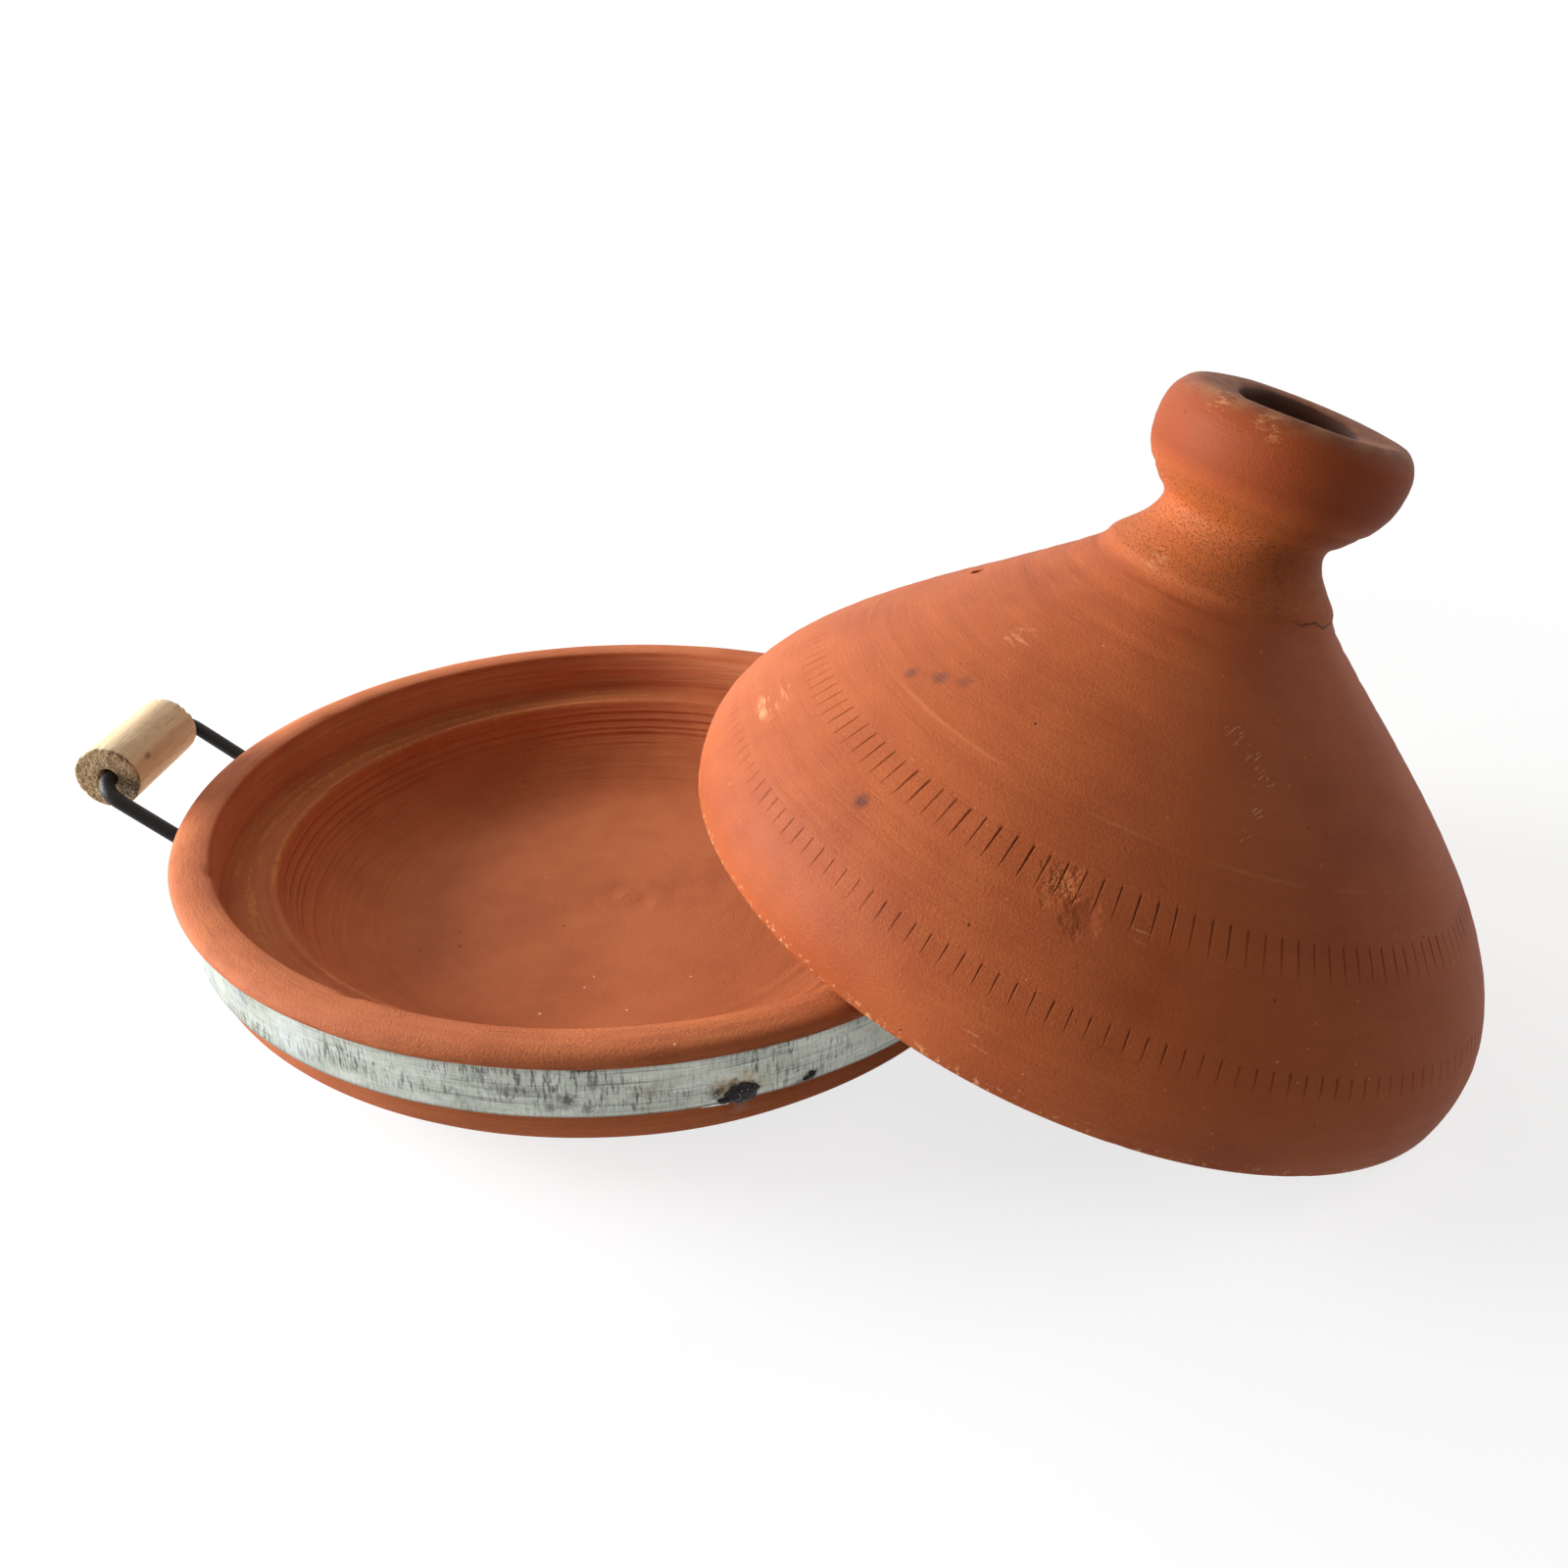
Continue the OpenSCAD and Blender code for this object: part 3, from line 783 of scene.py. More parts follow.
# steam hole: a 5 mm pin was pushed square through the wall at the back. The points near
# the pin go, and the two edges that they leave are drawn round and joined.
hole_way, hole_h, hole_r = math.radians(170), 88.0, 2.5
r_above, r_below = cone_at(hole_h + 1)[0], cone_at(hole_h - 1)[0]
along_wall = Vector((r_above - r_below, 0, 2)).normalized()
hole_axis = Matrix.Rotation(hole_way, 3, "Z") @ Vector((along_wall.z, 0, -along_wall.x))
hole_at = Matrix.Rotation(hole_way, 3, "Z") @ Vector((cone_at(hole_h)[0], 0, hole_h)) / 1000


def from_pin(v):
    """How far a point lies from the pin's axis, square to it."""
    off = v.co - hole_at
    return off - hole_axis * off.dot(hole_axis)


pushed = [
    v for v in bm.verts
    if from_pin(v).length < (hole_r - 0.5) / 1000 and (v.co - hole_at).length < 0.02
]
bmesh.ops.delete(bm, geom=pushed, context="VERTS")
hole_edges = [e for e in bm.edges if len(e.link_faces) == 1]
for v in {v for e in hole_edges for v in e.verts}:
    v.co += from_pin(v).normalized() * (hole_r / 1000 - from_pin(v).length)
for e in hole_edges:
    e.smooth = False
bmesh.ops.bridge_loops(bm, edges=hole_edges)
bm.transform(lid_place)

# the same red earthenware, more worn: a faint sheen from hands, and smoke on the knob
clay_lid, tree, out, wheel, _, radius, height, round_way = clay_body(
    "earthenware_lid_unglazed", lid_place.inverted()
)
colour, rings, broad, fine, sand, grog_on, pit_on = clay_colours(
    tree, wheel, radius, height, round_way, -0.7, "#b15a30", "#964522", "#ba6432", 0.36
)
# painted shade: the bottom of each cut is darkened, most where the blade bit deepest
cuts = add(tree, "Attribute", attribute_name="cut").outputs["Fac"]
colour = stain(colour, "#4d200f", (cuts, 0.1, 0.75), 0.75)


def spot(degrees, h, r):
    """A point on the lid's wall, in metres, from its direction, height and radius."""
    a = math.radians(degrees)
    return (r * math.cos(a) / 1000, r * math.sin(a) / 1000, h / 1000)


# the knob's crown is greyed by smoke and hands, and the neck under it is bare and sandy
colour = stain(colour, "#8a3c18", (height, 0.141, 0.148), 0.85)
# painted shade in the crease under the knob, where it meets the neck
colour = stain(colour, "#7d3915", within(height, 0.1355, 0.1425, 0.003), 0.45)
crown_grey = amount((height, 0.1595, 0.1655), (radius, 0.0365, 0.033))
colour = stain(colour, "#7c523c", crown_grey, 0.6)
sooty = add(tree, "TexNoise", {"Vector": wheel, "Scale": 150.0, "Detail": 4.0}).outputs["Fac"]
colour = stain(colour, "#b0764e", crown_grey, (sooty, 0.45, 0.65), 0.5)
# painted shade in the hollow of the knob, almost black
in_well = amount((radius, 0.0188, 0.0181), (height, 0.1681, 0.1675))
colour = stain(colour, "#33150c", in_well, 0.85)
on_neck = amount((height, 0.113, 0.119), (height, 0.144, 0.138))
bare = add(tree, "TexNoise", {"Vector": wheel, "Scale": 2100.0, "Detail": 2.0}).outputs["Fac"]
neck_pits = amount((bare, 0.58, 0.66), on_neck)
colour = stain(colour, "#c96f34", on_neck, 0.35)
colour = stain(colour, "#6e3013", neck_pits, 0.6)

# a pale line rubbed round the cone above the ticks
rubbed = amount(within(height, 0.0655, 0.0666, 0.0004), (rings(4.0, 120.0, 4.0), 0.46, 0.6))
colour = stain(colour, "#d98a58", rubbed, 0.2)

# grey smudges from the kiln
for where, size, tint, strength in (
    (spot(-150.5, 68.8, 93.6), 0.003, "#6b3d30", 0.7),
    (spot(-145.5, 72.3, 89.4), 0.0035, "#6b3d30", 0.7),
    (spot(-141.1, 74.9, 86.1), 0.003, "#7b4634", 0.6),
    (spot(-135.0, 43.5, 120.1), 0.003, "#54302a", 0.75),
):
    colour = stain(colour, tint, blot(wheel, where, size), strength)
# a gouge across three ticks and the thumb mark under it
crumble = add(tree, "TexNoise", {"Vector": wheel, "Scale": 520.0, "Detail": 4.0}).outputs["Fac"]
gouge = blot(wheel, spot(-106.5, 52.0, 112.0), 0.006, 0.9)
thumb = blot(wheel, spot(-102.4, 47.6, 116.4), 0.006)
colour = stain(colour, "#bf6a38", gouge, 0.55)
colour = stain(colour, "#8c4326", thumb, 0.5)
# pale scuffs where dry clay rubbed off
scuffed = amount((rings(9.0, 520.0, 4.0, 0.7), 0.5, 0.6))
for where, size, strength in (
    (spot(-163.5, 39.5, 123.3), 0.009, 0.8),
    (spot(-143.7, 88.1, 69.0), 0.005, 0.7),
    (spot(-141.7, 165.1, 33.6), 0.006, 0.35),
    (spot(-113.8, 163.8, 34.8), 0.006, 0.4),
    (spot(-136.6, 118.3, 34.4), 0.005, 0.35),
    (spot(-106.7, 14.0, 135.7), 0.005, 0.5),
    (spot(-95.0, 49.7, 114.4), 0.004, 0.6),
):
    colour = stain(colour, "#dd9c6c", blot(wheel, where, size), scuffed, strength)

# short pale scratches in a slanting row, each about 0.4 mm wide and 3 mm long: lengths
# along and across the strokes are measured in the plane of the wall there
stroke_way = Vector((0.55, 0.1, 0.83)).normalized()
scratched_way = math.radians(-80)
wall_out = Vector(
    (math.cos(scratched_way) * face_out, math.sin(scratched_way) * face_out, face_up)
)
stroke_way -= wall_out * stroke_way.dot(wall_out) / wall_out.length_squared
stroke_side = stroke_way.cross(wall_out).normalized()
scratched = None
for where, size in (
    (spot(-86.5, 90.5, 66.5), 0.0042),
    (spot(-81.5, 87.0, 70.5), 0.0036),
    (spot(-79.5, 83.0, 75.2), 0.0045),
    (spot(-81.0, 77.0, 82.5), 0.0036),
    (spot(-82.5, 71.5, 89.6), 0.003),
):
    mark = blot(wheel, where, size, 0.3)
    if scratched is None:
        scratched = mark
    else:
        either = {0: scratched, 1: mark}
        scratched = add(tree, "Math", either, operation="MAXIMUM").outputs[0]
stroke_at = [
    add(tree, "VectorMath", {0: wheel, 1: tuple(way)}, operation="DOT_PRODUCT")
    for way in (stroke_side * 1300.0, stroke_way.normalized() * 210.0)
]
on_wall = add(tree, "CombineXYZ", {i: stroke_at[i].outputs["Value"] for i in (0, 1)})
strokes = add(tree, "TexNoise", {"Vector": on_wall.outputs[0], "Scale": 1.0, "Detail": 1.0})
colour = stain(colour, "#e3a57c", scratched, (strokes.outputs["Fac"], 0.6, 0.66), 0.75)
# crumbs along the cut edge
crumbs = add(tree, "TexNoise", {"Vector": wheel, "Scale": 620.0, "Detail": 3.0}).outputs["Fac"]
colour = stain(colour, "#e6a878", (height, 0.004, 0.0018), (crumbs, 0.58, 0.64), 0.6)

# a hairline crack at the foot of the neck
crack_line = add(tree, "TexNoise", {"Vector": wheel, "Scale": 120.0, "Detail": 5.0})
wandering = {0: crack_line.outputs["Fac"], 1: 0.006, 2: 0.1128}
crack_h = add(tree, "Math", wandering, operation="MULTIPLY_ADD").outputs[0]
crack_off = add(tree, "Math", {0: height, 1: crack_h}, operation="SUBTRACT").outputs[0]
crack_off = add(tree, "Math", {0: crack_off}, operation="ABSOLUTE").outputs[0]
crack = amount((crack_off, 0.0004, 0.0001), (facing(-35), 0.88, 0.95))
colour = stain(colour, "#3a190d", crack, 0.85)

# rubbed by hands: a little smoother than the dish
worn = {"Value": fine, "From Min": 0.1, "From Max": 0.35, "To Min": 0.56, "To Max": 0.7}
rough = add(tree, "MapRange", worn).outputs[0]
clay_finish(
    tree,
    out,
    colour,
    rough,
    ((broad, 0.0007), (fine, 0.00035), (sand, 0.0002), (grog_on, 0.00012)),
    (
        (pit_on, 0.0004),
        (crack, 0.0006),
        (amount(gouge, (crumble, 0.4, 0.6)), 0.0006),
        (thumb, 0.0005),
        (neck_pits, 0.0003),
    ),
    0.22,
)
lid_piece = new_piece("lid_thrown", bm, clay_lid)
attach(lid_piece, "lid_body")
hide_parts("lid")

# ---------------------------------------------------------------------------------
# Hoop. A strip of galvanised sheet steel, 18 by 0.9 mm, bent round the dish under its
# rim and closed with a spot of arc weld. It keeps the clay together over the fire. The
# zinc is dull, with drawing scratches along it and hatch marks across it.
# ---------------------------------------------------------------------------------

hoop_low, hoop_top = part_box("band")[0].z * 1000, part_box("band")[1].z * 1000
hoop_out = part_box("band")[1].x * 1000
hoop_in = hoop_out - 0.9
edge_round = 0.18
bm = throw(
    [
        (hoop_in, hoop_low + edge_round),
        (hoop_in + edge_round, hoop_low),
        (hoop_out - edge_round, hoop_low),
        (hoop_out, hoop_low + edge_round),
    ]
    + line((hoop_out, hoop_low + edge_round), (hoop_out, hoop_top - edge_round), 9)
    + [
        (hoop_out - edge_round, hoop_top),
        (hoop_in + edge_round, hoop_top),
        (hoop_in, hoop_top - edge_round),
        (hoop_in, hoop_low + edge_round),
    ],
    300,
)
bmesh.ops.recalc_face_normals(bm, faces=bm.faces)
for v in bm.verts:
    way = math.atan2(v.co.y, v.co.x)
    around = Vector((math.cos(way), math.sin(way), 0))
    # hammered to fit: shallow flats, and a lower edge that isn't quite straight
    flat = 0.16 + 0.16 * noise.noise(Vector((around.x * 5, around.y * 5, v.co.z * 60)))
    rise = 0.28 * noise.noise(around * 4.2) if v.co.z * 1000 < hoop_low + 3 else 0.0
    v.co += around * (flat / 1000) + Vector((0, 0, rise / 1000))

# hot-dip zinc gone dull: half bright metal and half pale grey oxide to the eye
galvanised, tree, out = new_material("galvanised_steel_strip")
place = add(tree, "TexCoord").outputs["Object"]


def stretched(scale, detail, rough=0.6, seed=(0, 0, 0)):
    """Noise whose grain is drawn out by a different scale along each axis."""
    spot_at = add(tree, "Mapping", {"Vector": place, "Location": seed, "Scale": scale})
    return add(
        tree,
        "TexNoise",
        {"Vector": spot_at.outputs[0], "Scale": 1.0, "Detail": detail, "Roughness": rough},
    ).outputs["Fac"]


# the weave that rolling left in the zinc, 0.6 mm fine, hatch across the strip every 1 to
# 2 mm in dirty patches, and long scratches along it
weave_up = stretched((1500, 1500, 260), 3.0, 0.7, seed=(3, 1, 4))
weave_along = stretched((230, 230, 1700), 3.0, 0.7, seed=(7, 5, 2))
hatch = stretched((1050, 1050, 190), 4.0, 0.65)
along = stretched((26, 26, 1500), 4.0, 0.65)
patches = stretched((34, 34, 90), 3.0, seed=(1.5, 0.5, 0))
patch_dark = amount((patches, 0.44, 0.62))
zinc = stain(linear("#b3b8ab"), "#d4d8cd", (stretched((60, 60, 120), 3.0), 0.35, 0.7))
zinc = stain(zinc, "#6f736a", (weave_up, 0.52, 0.66), 0.34)
zinc = stain(zinc, "#6f736a", (weave_along, 0.54, 0.68), 0.34)
zinc = stain(zinc, "#dfe3dc", (weave_up, 0.44, 0.32), 0.4)
zinc = stain(zinc, "#4b4e47", (hatch, 0.5, 0.6), patch_dark, 0.85)
zinc = stain(zinc, "#5f635b", (along, 0.56, 0.64), 0.55)
zinc = stain(zinc, "#dfe3dc", (along, 0.42, 0.36), 0.4)


# clouds on the left, the bright bluish ones painted reflection of the window, with grey patches
# among them; grey stains and black specks on the front; where the weld burnt it the zinc is
# straw and brown, and black at the weld itself. Direction in degrees, height in mm, size in
# metres, how the mark is squeezed, tint and strength.
for degrees, h, size, squeeze, tint, strength in (
    # painted reflection: the pale bluish rows at -147 and -121 degrees
    (-147.0, 41.0, 0.012, (1, 1, 1), "#e6edf2", 0.6),
    (-139.0, 38.0, 0.006, (1, 1, 1), "#8e989b", 0.6),
    (-131.0, 45.0, 0.007, (1, 1, 1), "#98a2a4", 0.5),
    (-121.0, 40.0, 0.012, (1, 1, 1), "#dfe6e6", 0.45),
    (-86.0, 43.6, 0.0028, (1.4, 1, 0.8), "#6c6f6c", 0.75),
    (-88.6, 38.5, 0.0034, (1, 1, 1), "#4a4b46", 0.85),
    (-86.6, 35.8, 0.0024, (1, 1, 1), "#4a4b46", 0.7),
    (-90.4, 36.2, 0.002, (1, 1, 1), "#4a4b46", 0.7),
    (-86.8, 48.7, 0.003, (0.6, 1, 2.8), "#231f1b", 1.0),
    (-94.0, 41.5, 0.004, (0.4, 1, 1.6), "#5a5d57", 0.5),
    (-80.5, 40.5, 0.004, (0.5, 1, 1.4), "#75695a", 0.5),
    (-70.6, 36.6, 0.0088, (1, 1, 1.1), "#bfae8b", 0.8),
    (-72.0, 37.9, 0.0056, (1, 1, 1.6), "#7a5c38", 0.75),
    (-73.2, 36.6, 0.0034, (1, 1, 1.3), "#3b2a1e", 0.85),
    (-70.6, 35.4, 0.0056, (1, 1, 1.2), "#1d1a1b", 0.95),
    (-62.6, 34.4, 0.0022, (1, 1, 1), "#2b241d", 0.9),
    (-63.9, 33.4, 0.002, (0.6, 1, 1.6), "#54422d", 0.6),
):
    there = blot(place, spot(degrees, h, hoop_out), size, 0.9, squeeze, 3.4, 0.4)
    zinc = stain(zinc, tint, there, strength)
# dark line along both edges: dirt along the lower edge, and painted shadow of the rim's bead
# along the upper edge
height_here = add(tree, "SeparateXYZ", {0: place}).outputs[2]
edges = {
    0: amount((height_here, 0.0336, 0.0328)),
    1: amount((height_here, 0.0476, 0.0498)),
}
edge_dirt_and_rim_shadow = add(tree, "Math", edges, operation="MAXIMUM").outputs[0]
zinc = stain(zinc, "#4d4a42", edge_dirt_and_rim_shadow, 0.6)
dull = {"Value": along, "From Min": 0.3, "From Max": 0.7, "To Min": 0.36, "To Max": 0.6}
rough = add(tree, "MapRange", dull).outputs[0]
bump = add(tree, "Bump", {"Height": weave_up, "Distance": 0.00018, "Strength": 0.7})
for mark, depth, strength in ((along, 0.0002, 0.7), (patches, 0.0012, 0.6)):
    pressed = {"Height": mark, "Distance": depth, "Strength": strength}
    bump = add(tree, "Bump", {**pressed, "Normal": bump.outputs[0]})
shader = add(
    tree,
    "BsdfPrincipled",
    {
        "Base Color": zinc,
        "Metallic": 0.55,
        "Roughness": rough,
        "Normal": bump.outputs[0],
    },
)
tree.links.new(shader.outputs[0], out.inputs["Surface"])
hoop = new_piece("hoop_strip", bm, galvanised)
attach(hoop, "dish_body")
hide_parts("band")

# ---------------------------------------------------------------------------------
# Welds. Arc weld laid on by hand: the lump that closes the hoop at its lower edge, a
# small tack beside it, and bright beads of spatter round them.
# ---------------------------------------------------------------------------------

# weld metal under black scale: crusty and half matt, with brown smoke and silver flecks
weld_scale, tree, out = new_material("arc_weld_black_scale")
place = add(tree, "TexCoord").outputs["Object"]
crust = stretched((900, 900, 900), 4.0)
smoke = stretched((300, 300, 300), 3.0)
metal = stain(linear("#131112"), "#2d2624", (crust, 0.35, 0.65))
metal = stain(metal, "#5a3c29", (smoke, 0.55, 0.7), 0.45)
flecks = stretched((900, 900, 330), 3.0, seed=(9, 2, 7))
metal = stain(metal, "#b9bcbb", (flecks, 0.64, 0.7))
bump = add(tree, "Bump", {"Height": crust, "Distance": 0.0012, "Strength": 1.0}).outputs[0]
shader = add(
    tree,
    "BsdfPrincipled",
    {"Base Color": metal, "Metallic": 0.4, "Roughness": 0.45, "Normal": bump},
)
tree.links.new(shader.outputs[0], out.inputs["Surface"])


def set_at(degrees, reach, z):
    """Turns and moves a small shape to a direction, and a reach and height in mm."""
    return Matrix.Rotation(math.radians(degrees), 4, "Z") @ Matrix.Translation(
        (reach / 1000, 0, z / 1000)
    )


def lump(bm, degrees, reach, z, size, seed, knobbly):
    """Adds a ball of weld, size (out, round, up) in mm, at a direction, reach and height."""
    ball = bmesh.ops.create_icosphere(bm, subdivisions=4, radius=1.0)["verts"]
    for v in ball:
        way = v.co.normalized()
        swell = 1 + knobbly * (
            noise.noise(way * 1.6 + Vector((seed, 0, 0)))
            + 0.6 * noise.noise(way * 4 + Vector((0, seed, 0)))
            + 0.3 * noise.noise(way * 9 + Vector((0, 0, seed)))
        )
        v.co = Vector(c * s * swell / 1000 for c, s in zip(way, size))
    bmesh.ops.transform(bm, matrix=set_at(degrees, reach, z), verts=ball)


bm = bmesh.new()
lump(bm, -70.4, hoop_out + 0.1, hoop_low + 2.2, (1.5, 4.3, 3.1), 1.0, 0.3)
lump(bm, -72.4, hoop_out + 0.1, hoop_low + 1.0, (0.9, 1.9, 0.9), 4.0, 0.4)
lump(bm, -71.6, hoop_out + 0.4, hoop_low + 2.2, (1.0, 1.1, 1.0), 7.0, 0.3)
lap_weld = new_piece("hoop_lap_weld", bm, weld_scale)
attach(lap_weld, "dish_body")
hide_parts("band_lap_weld")

bm = bmesh.new()
lump(bm, -62.3, hoop_out + 0.15, hoop_low + 2.1, (0.6, 1.0, 1.1), 2.0, 0.6)
lump(bm, -63.0, hoop_out + 0.15, hoop_low + 1.3, (0.5, 1.0, 0.6), 5.0, 0.4)
tack_weld = new_piece("hoop_tack_weld", bm, weld_scale)
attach(tack_weld, "dish_body")
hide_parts("band_tack_weld")

# beads of bright steel spatter round the lap weld, and the lapped end's bare edge
bright_steel, tree, out = new_material("bright_weld_spatter")
place = add(tree, "TexCoord").outputs["Object"]
dimpled = stretched((800, 800, 800), 3.0)
bump = add(tree, "Bump", {"Height": dimpled, "Distance": 0.0003, "Strength": 0.6}).outputs[0]
shader = add(
    tree,
    "BsdfPrincipled",
    {
        "Base Color": stain(linear("#8d8f8e"), "#e4e6e4", dimpled),
        "Metallic": 1.0,
        "Roughness": 0.3,
        "Normal": bump,
    },
)
tree.links.new(shader.outputs[0], out.inputs["Surface"])
bm = bmesh.new()
for k in range(26):
    hand = Vector((k * 1.37, 2.2, 5.1))
    degrees = -72.6 + 2.6 * noise.noise(hand) - (0.9 if k % 3 else -2.4)
    z = hoop_low + 2.6 + 3.4 * noise.noise(hand + Vector((0, 3, 0)))
    size = 0.16 + 0.2 * abs(noise.noise(hand + Vector((4, 0, 0))))
    bead = bmesh.ops.create_icosphere(bm, subdivisions=1, radius=size / 1000)["verts"]
    bmesh.ops.transform(bm, matrix=set_at(degrees, hoop_out + 0.22, z), verts=bead)
# the sliver of the strip's inner end that shows below its edge
sliver = bmesh.ops.create_cube(bm, size=1.0)["verts"]
for v in sliver:
    thick = 0.35 if v.co.y > 0 else 0.05
    v.co = Vector((v.co.x * 0.5, v.co.y * 7.5, (v.co.z - 0.2) * thick * 2)) / 1000
sliver_at = set_at(-73.4, hoop_out - 0.1, hoop_low - 0.15)
bmesh.ops.transform(bm, matrix=sliver_at, verts=sliver)
spatter = new_piece("hoop_weld_spatter", bm, bright_steel)
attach(spatter, "dish_body")

# ---------------------------------------------------------------------------------
# Handles. Each is 5 mm steel rod in its black mill scale, bent to a wide U and welded by
# its two feet to the hoop, with a fillet on each side of a foot. The rods are the solids
# of the model itself.
# ---------------------------------------------------------------------------------

# hot-rolled steel: a thin skin of near-black oxide, half matt, with brown specks
mill_scale, tree, out = new_material("steel_rod_mill_scale")
place = add(tree, "TexCoord").outputs["Object"]
cloud = stretched((220, 220, 220), 4.0)
grain = stretched((1400, 1400, 1400), 3.0)
rod_colour = stain(linear("#0f0b0a"), "#1f1715", (cloud, 0.35, 0.65))
rod_colour = stain(rod_colour, "#3d302b", (grain, 0.55, 0.75), 0.35)
bump = add(tree, "Bump", {"Height": grain, "Distance": 0.00025, "Strength": 0.6}).outputs[0]
skin = {"Value": cloud, "From Min": 0.3, "From Max": 0.7, "To Min": 0.38, "To Max": 0.58}
rough = add(tree, "MapRange", skin).outputs[0]
shader = add(
    tree,
    "BsdfPrincipled",
    {
        "Base Color": rod_colour,
        "Metallic": 0.2,
        "Roughness": rough,
        "Specular IOR Level": 0.25,
        "Normal": bump,
    },
)
tree.links.new(shader.outputs[0], out.inputs["Surface"])
for side in ("left", "right"):
    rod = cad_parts[side + "_handle_rod"]
    rod.data.materials.clear()
    rod.data.materials.append(mill_scale)

for side, sign in (("left", -1), ("right", 1)):
    low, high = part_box(side + "_handle_welds")
    mid_z = (low.z + high.z) * 500
    # the feet stand 30 mm to each side of the middle, half a rod out from the hoop
    foot = math.degrees(math.asin(30 / (hoop_out + 2.5)))
    bm = bmesh.new()
    for end in (-1, 1):
        for flank in (-1, 1):
            for k in range(3):
                degrees = end * foot + flank * 0.95
                lump(
                    bm,
                    degrees if sign > 0 else 180 - degrees,
                    hoop_out + 0.55,
                    mid_z + (k - 1) * 2.1,
                    (1.3, 1.5, 1.75),
                    sign * 3 + end * 5 + flank * 7 + k,
                    0.3,
                )
    weld = new_piece(side + "_foot_welds", bm, weld_scale)
    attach(weld, "dish_body")
    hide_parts(side + "_handle_welds")

# ---------------------------------------------------------------------------------
# Grips. A length of 22 mm beech dowel, sawn off roughly and drilled through, loose on
# the rod so that it turns in the hand. Bare wood, a little grubby, torn at the ends.
# ---------------------------------------------------------------------------------

# bare beech, sanded: pale, matt, with fine fibre along it and short brown pores
beech, tree, out = new_material("beech_dowel_bare")
place = add(tree, "TexCoord").outputs["Object"]
# growth rings about a hand's width from the tree's heart, which lies off the dowel
heart = {"Vector": place, "Location": (0.21, 0, -0.02), "Rotation": (math.pi / 2, 0, 0)}
rings_at = add(tree, "Mapping", heart).outputs[0]
growth = add(
    tree,
    "TexWave",
    {"Vector": rings_at, "Scale": 95.0, "Distortion": 3.0, "Detail": 3.0, "Detail Scale": 2.0},
    wave_type="RINGS",
    rings_direction="Z",
).outputs["Fac"]
fibre = stretched((1100, 45, 1100), 4.0)
pores = stretched((1900, 110, 1900), 3.0, seed=(5, 3, 1))
tone = stretched((90, 12, 90), 3.0)
wood = stain(linear("#e6c594"), "#f4dcb4", (fibre, 0.3, 0.7))
wood = stain(wood, "#c49665", (growth, 0.4, 0.9), 0.35)
wood = stain(wood, "#c89b6a", (tone, 0.45, 0.7), 0.4)
wood = stain(wood, "#8f6440", (pores, 0.6, 0.7), 0.65)
# the sawn ends: darker, with torn fibre and dirt
lengthways = add(tree, "SeparateXYZ", {0: place}).outputs[1]
end_way = add(tree, "Math", {0: lengthways}, operation="ABSOLUTE").outputs[0]
end_face = amount((end_way, 0.02135, 0.0217))
torn_wide = stretched((650, 200, 260), 4.0, 0.7)
torn_fine = stretched((1500, 900, 1100), 3.0, 0.7)
end_wood = stain(linear("#a9804f"), "#e4c595", (torn_wide, 0.38, 0.66))
end_wood = stain(end_wood, "#5a3c20", (torn_fine, 0.5, 0.6), 0.9)
# scorched on one side of the hole
burn = {0: place, 1: (-0.1665, -0.022, 0.0625)}
scorch = add(tree, "VectorMath", burn, operation="DISTANCE").outputs["Value"]
scorch = amount((scorch, 0.0062, 0.0025), (torn_fine, 0.36, 0.5))
end_wood = stain(end_wood, "#3a2412", scorch, 0.9)
sides_and_ends = {0: end_face, 6: wood, 7: end_wood}
wood = add(tree, "Mix", sides_and_ends, data_type="RGBA").outputs[2]
# a small dark knot, drawn out along the fibre
knot = {0: place, 1: (-0.163, -0.0122, 0.0707)}
knot_far = add(tree, "VectorMath", knot, operation="SUBTRACT").outputs[0]
drawn_out = {0: knot_far, 1: (1, 0.6, 1)}
knot_far = add(tree, "VectorMath", drawn_out, operation="MULTIPLY").outputs[0]
knot_far = add(tree, "VectorMath", {0: knot_far}, operation="LENGTH").outputs["Value"]
wood = stain(wood, "#6d4425", (knot_far, 0.0015, 0.0004), 0.75)
bump = add(tree, "Bump", {"Height": fibre, "Distance": 0.00018, "Strength": 0.8}).outputs[0]
torn_fibre = add(tree, "Math", {0: torn_wide, 1: torn_fine}, operation="ADD").outputs[0]
torn_ends = {"Height": amount(end_face, torn_fibre), "Distance": 0.0007, "Strength": 0.9}
bump = add(tree, "Bump", {**torn_ends, "Normal": bump}).outputs[0]
shader = add(
    tree,
    "BsdfPrincipled",
    {"Base Color": wood, "Roughness": 0.62, "IOR": 1.47, "Normal": bump},
)
tree.links.new(shader.outputs[0], out.inputs["Surface"])

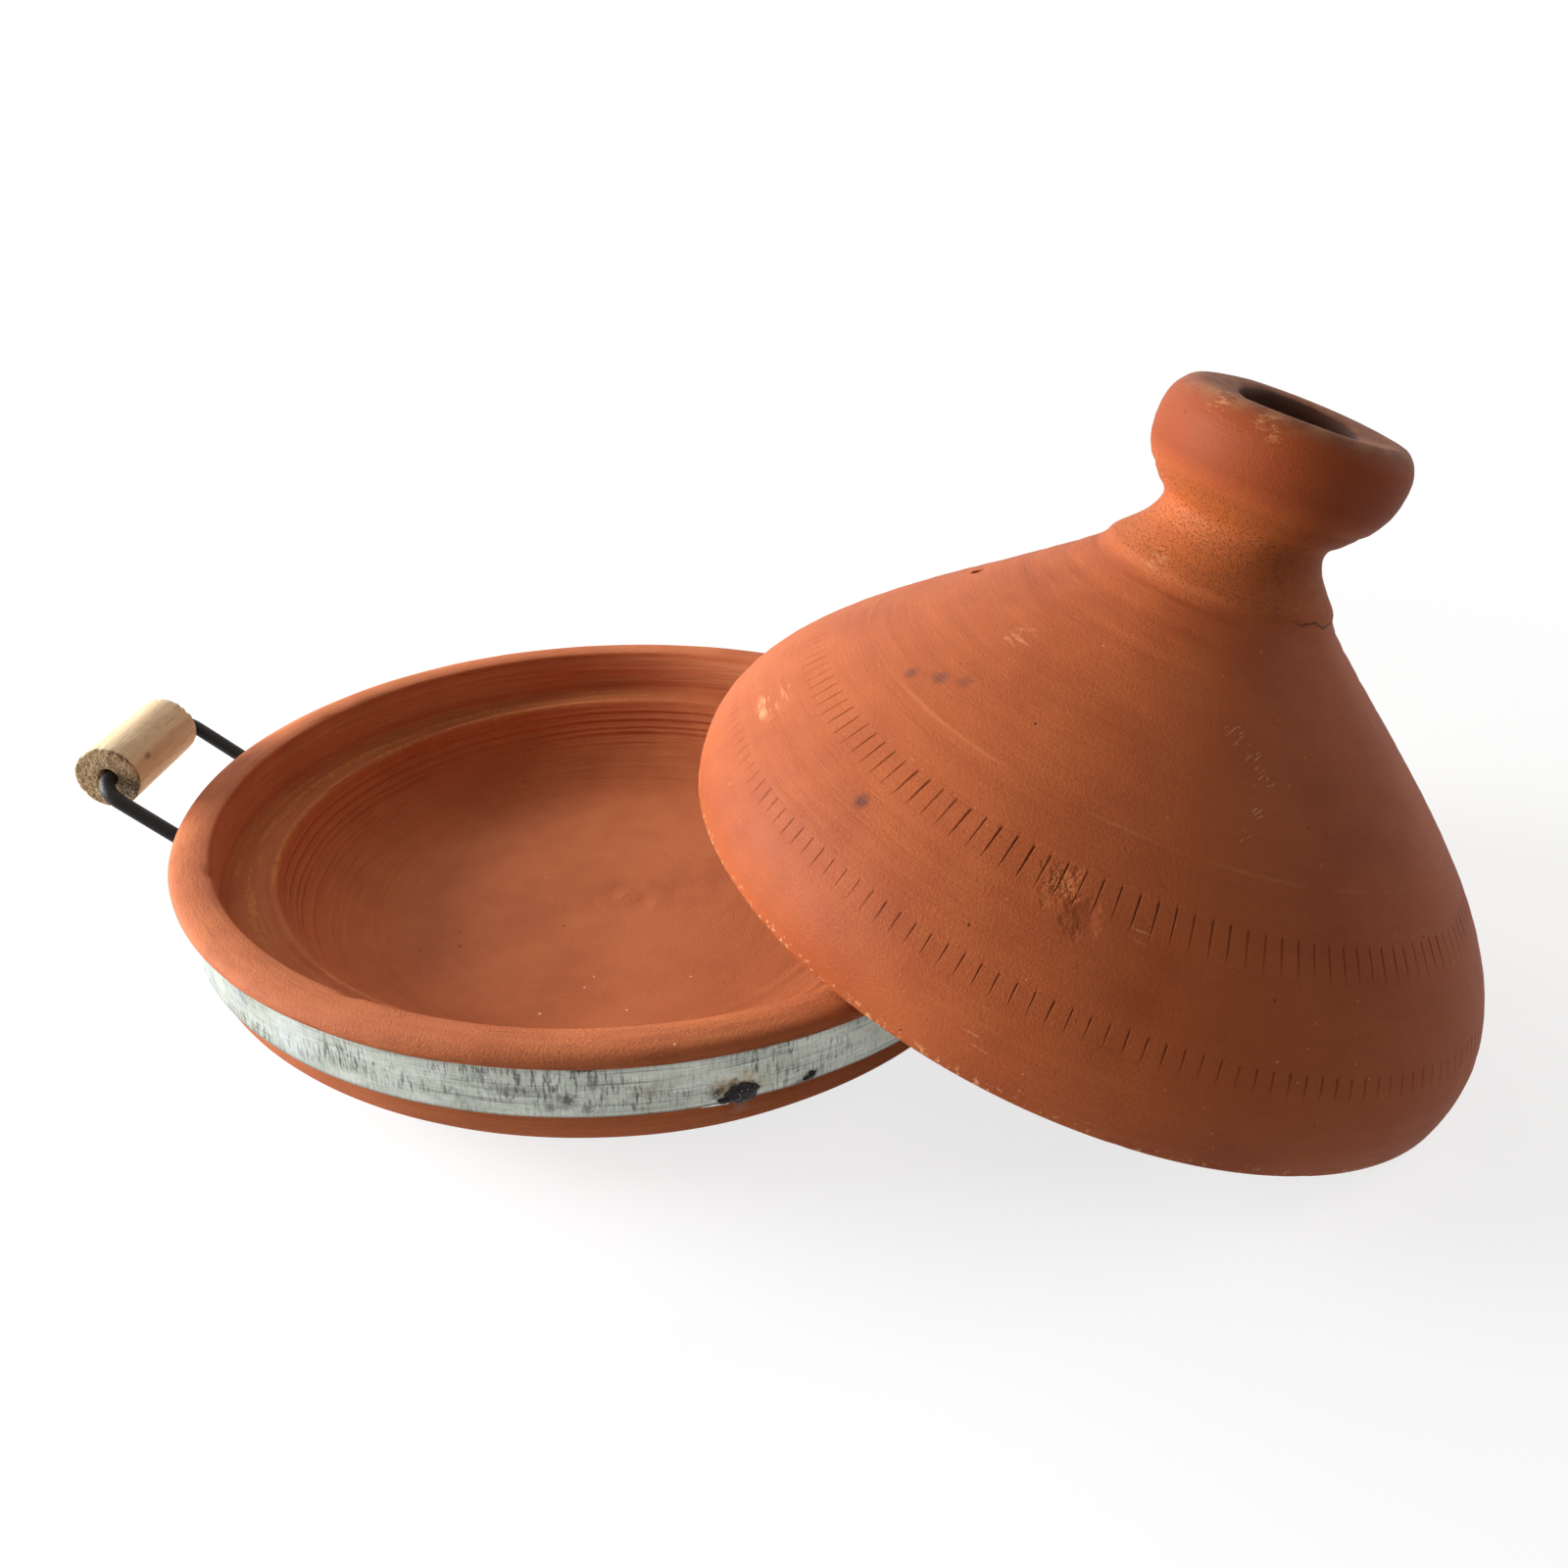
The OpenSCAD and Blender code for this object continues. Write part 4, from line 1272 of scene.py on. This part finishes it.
grip_length, grip_r, hole_r = 44.0, 11.0, 3.1
half = grip_length / 2
grip_outline = (
    [(hole_r, -half + 6)]
    + line((hole_r, -half + 6), (hole_r, -half + 0.3), 5)
    + [(hole_r + 0.3, -half)]
    + line((hole_r + 0.3, -half), (grip_r - 0.5, -half), 16)
    + [(grip_r - 0.1, -half + 0.3)]
    + line((grip_r, -half + 0.8), (grip_r, half - 0.8), 26)
    + [(grip_r - 0.1, half - 0.3)]
    + [(grip_r - 0.5, half)]
    + line((grip_r - 0.5, half), (hole_r + 0.3, half), 16)
    + [(hole_r, half - 0.3)]
    + line((hole_r, half - 0.3), (hole_r, -half + 6), 8)
)
for side, sign in (("left", -1), ("right", 1)):
    low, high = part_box(side + "_handle_grip")
    middle = (low + high) / 2
    bm = throw(grip_outline, 110)
    bmesh.ops.recalc_face_normals(bm, faces=bm.faces)
    for v in bm.verts:
        x, y, z = v.co * 1000
        r = math.hypot(x, y)
        share = min(1.0, max(0.0, (grip_r - r) / (grip_r - hole_r)))
        # the drill ran a little off the dowel's axis, towards the dish
        x += share * -0.35 * sign
        y += share * 0.25
        if abs(z) > half - 0.9:
            tear = 0.2 * noise.noise(Vector((x * 0.55, y * 0.25, z)))
            tear += 0.14 * noise.noise(Vector((x * 1.4, y * 1.1, z * 0.1)))
            z += math.copysign(tear, z)
            if r > grip_r - 1.2:
                chip = max(0.0, noise.noise(Vector((x * 0.5, y * 0.5, 4.0 * sign))) - 0.12)
                x *= 1 - 0.04 * chip
                y *= 1 - 0.04 * chip
                z -= math.copysign(0.8 * chip, z)
        elif r > grip_r - 0.5:
            # not quite round, with flats where it was planed
            off = 0.1 * noise.noise(Vector((x * 0.15, y * 0.15, z * 0.02)))
            x += x / r * off
            y += y / r * off
        v.co = Vector((x, y, z)) / 1000
    bm.transform(Matrix.Translation(middle) @ Matrix.Rotation(math.radians(90), 4, "X"))
    grip = new_piece(side + "_grip_dowel", bm, beech)
    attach(grip, side + "_grip_body")
    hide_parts(side + "_handle_grip")
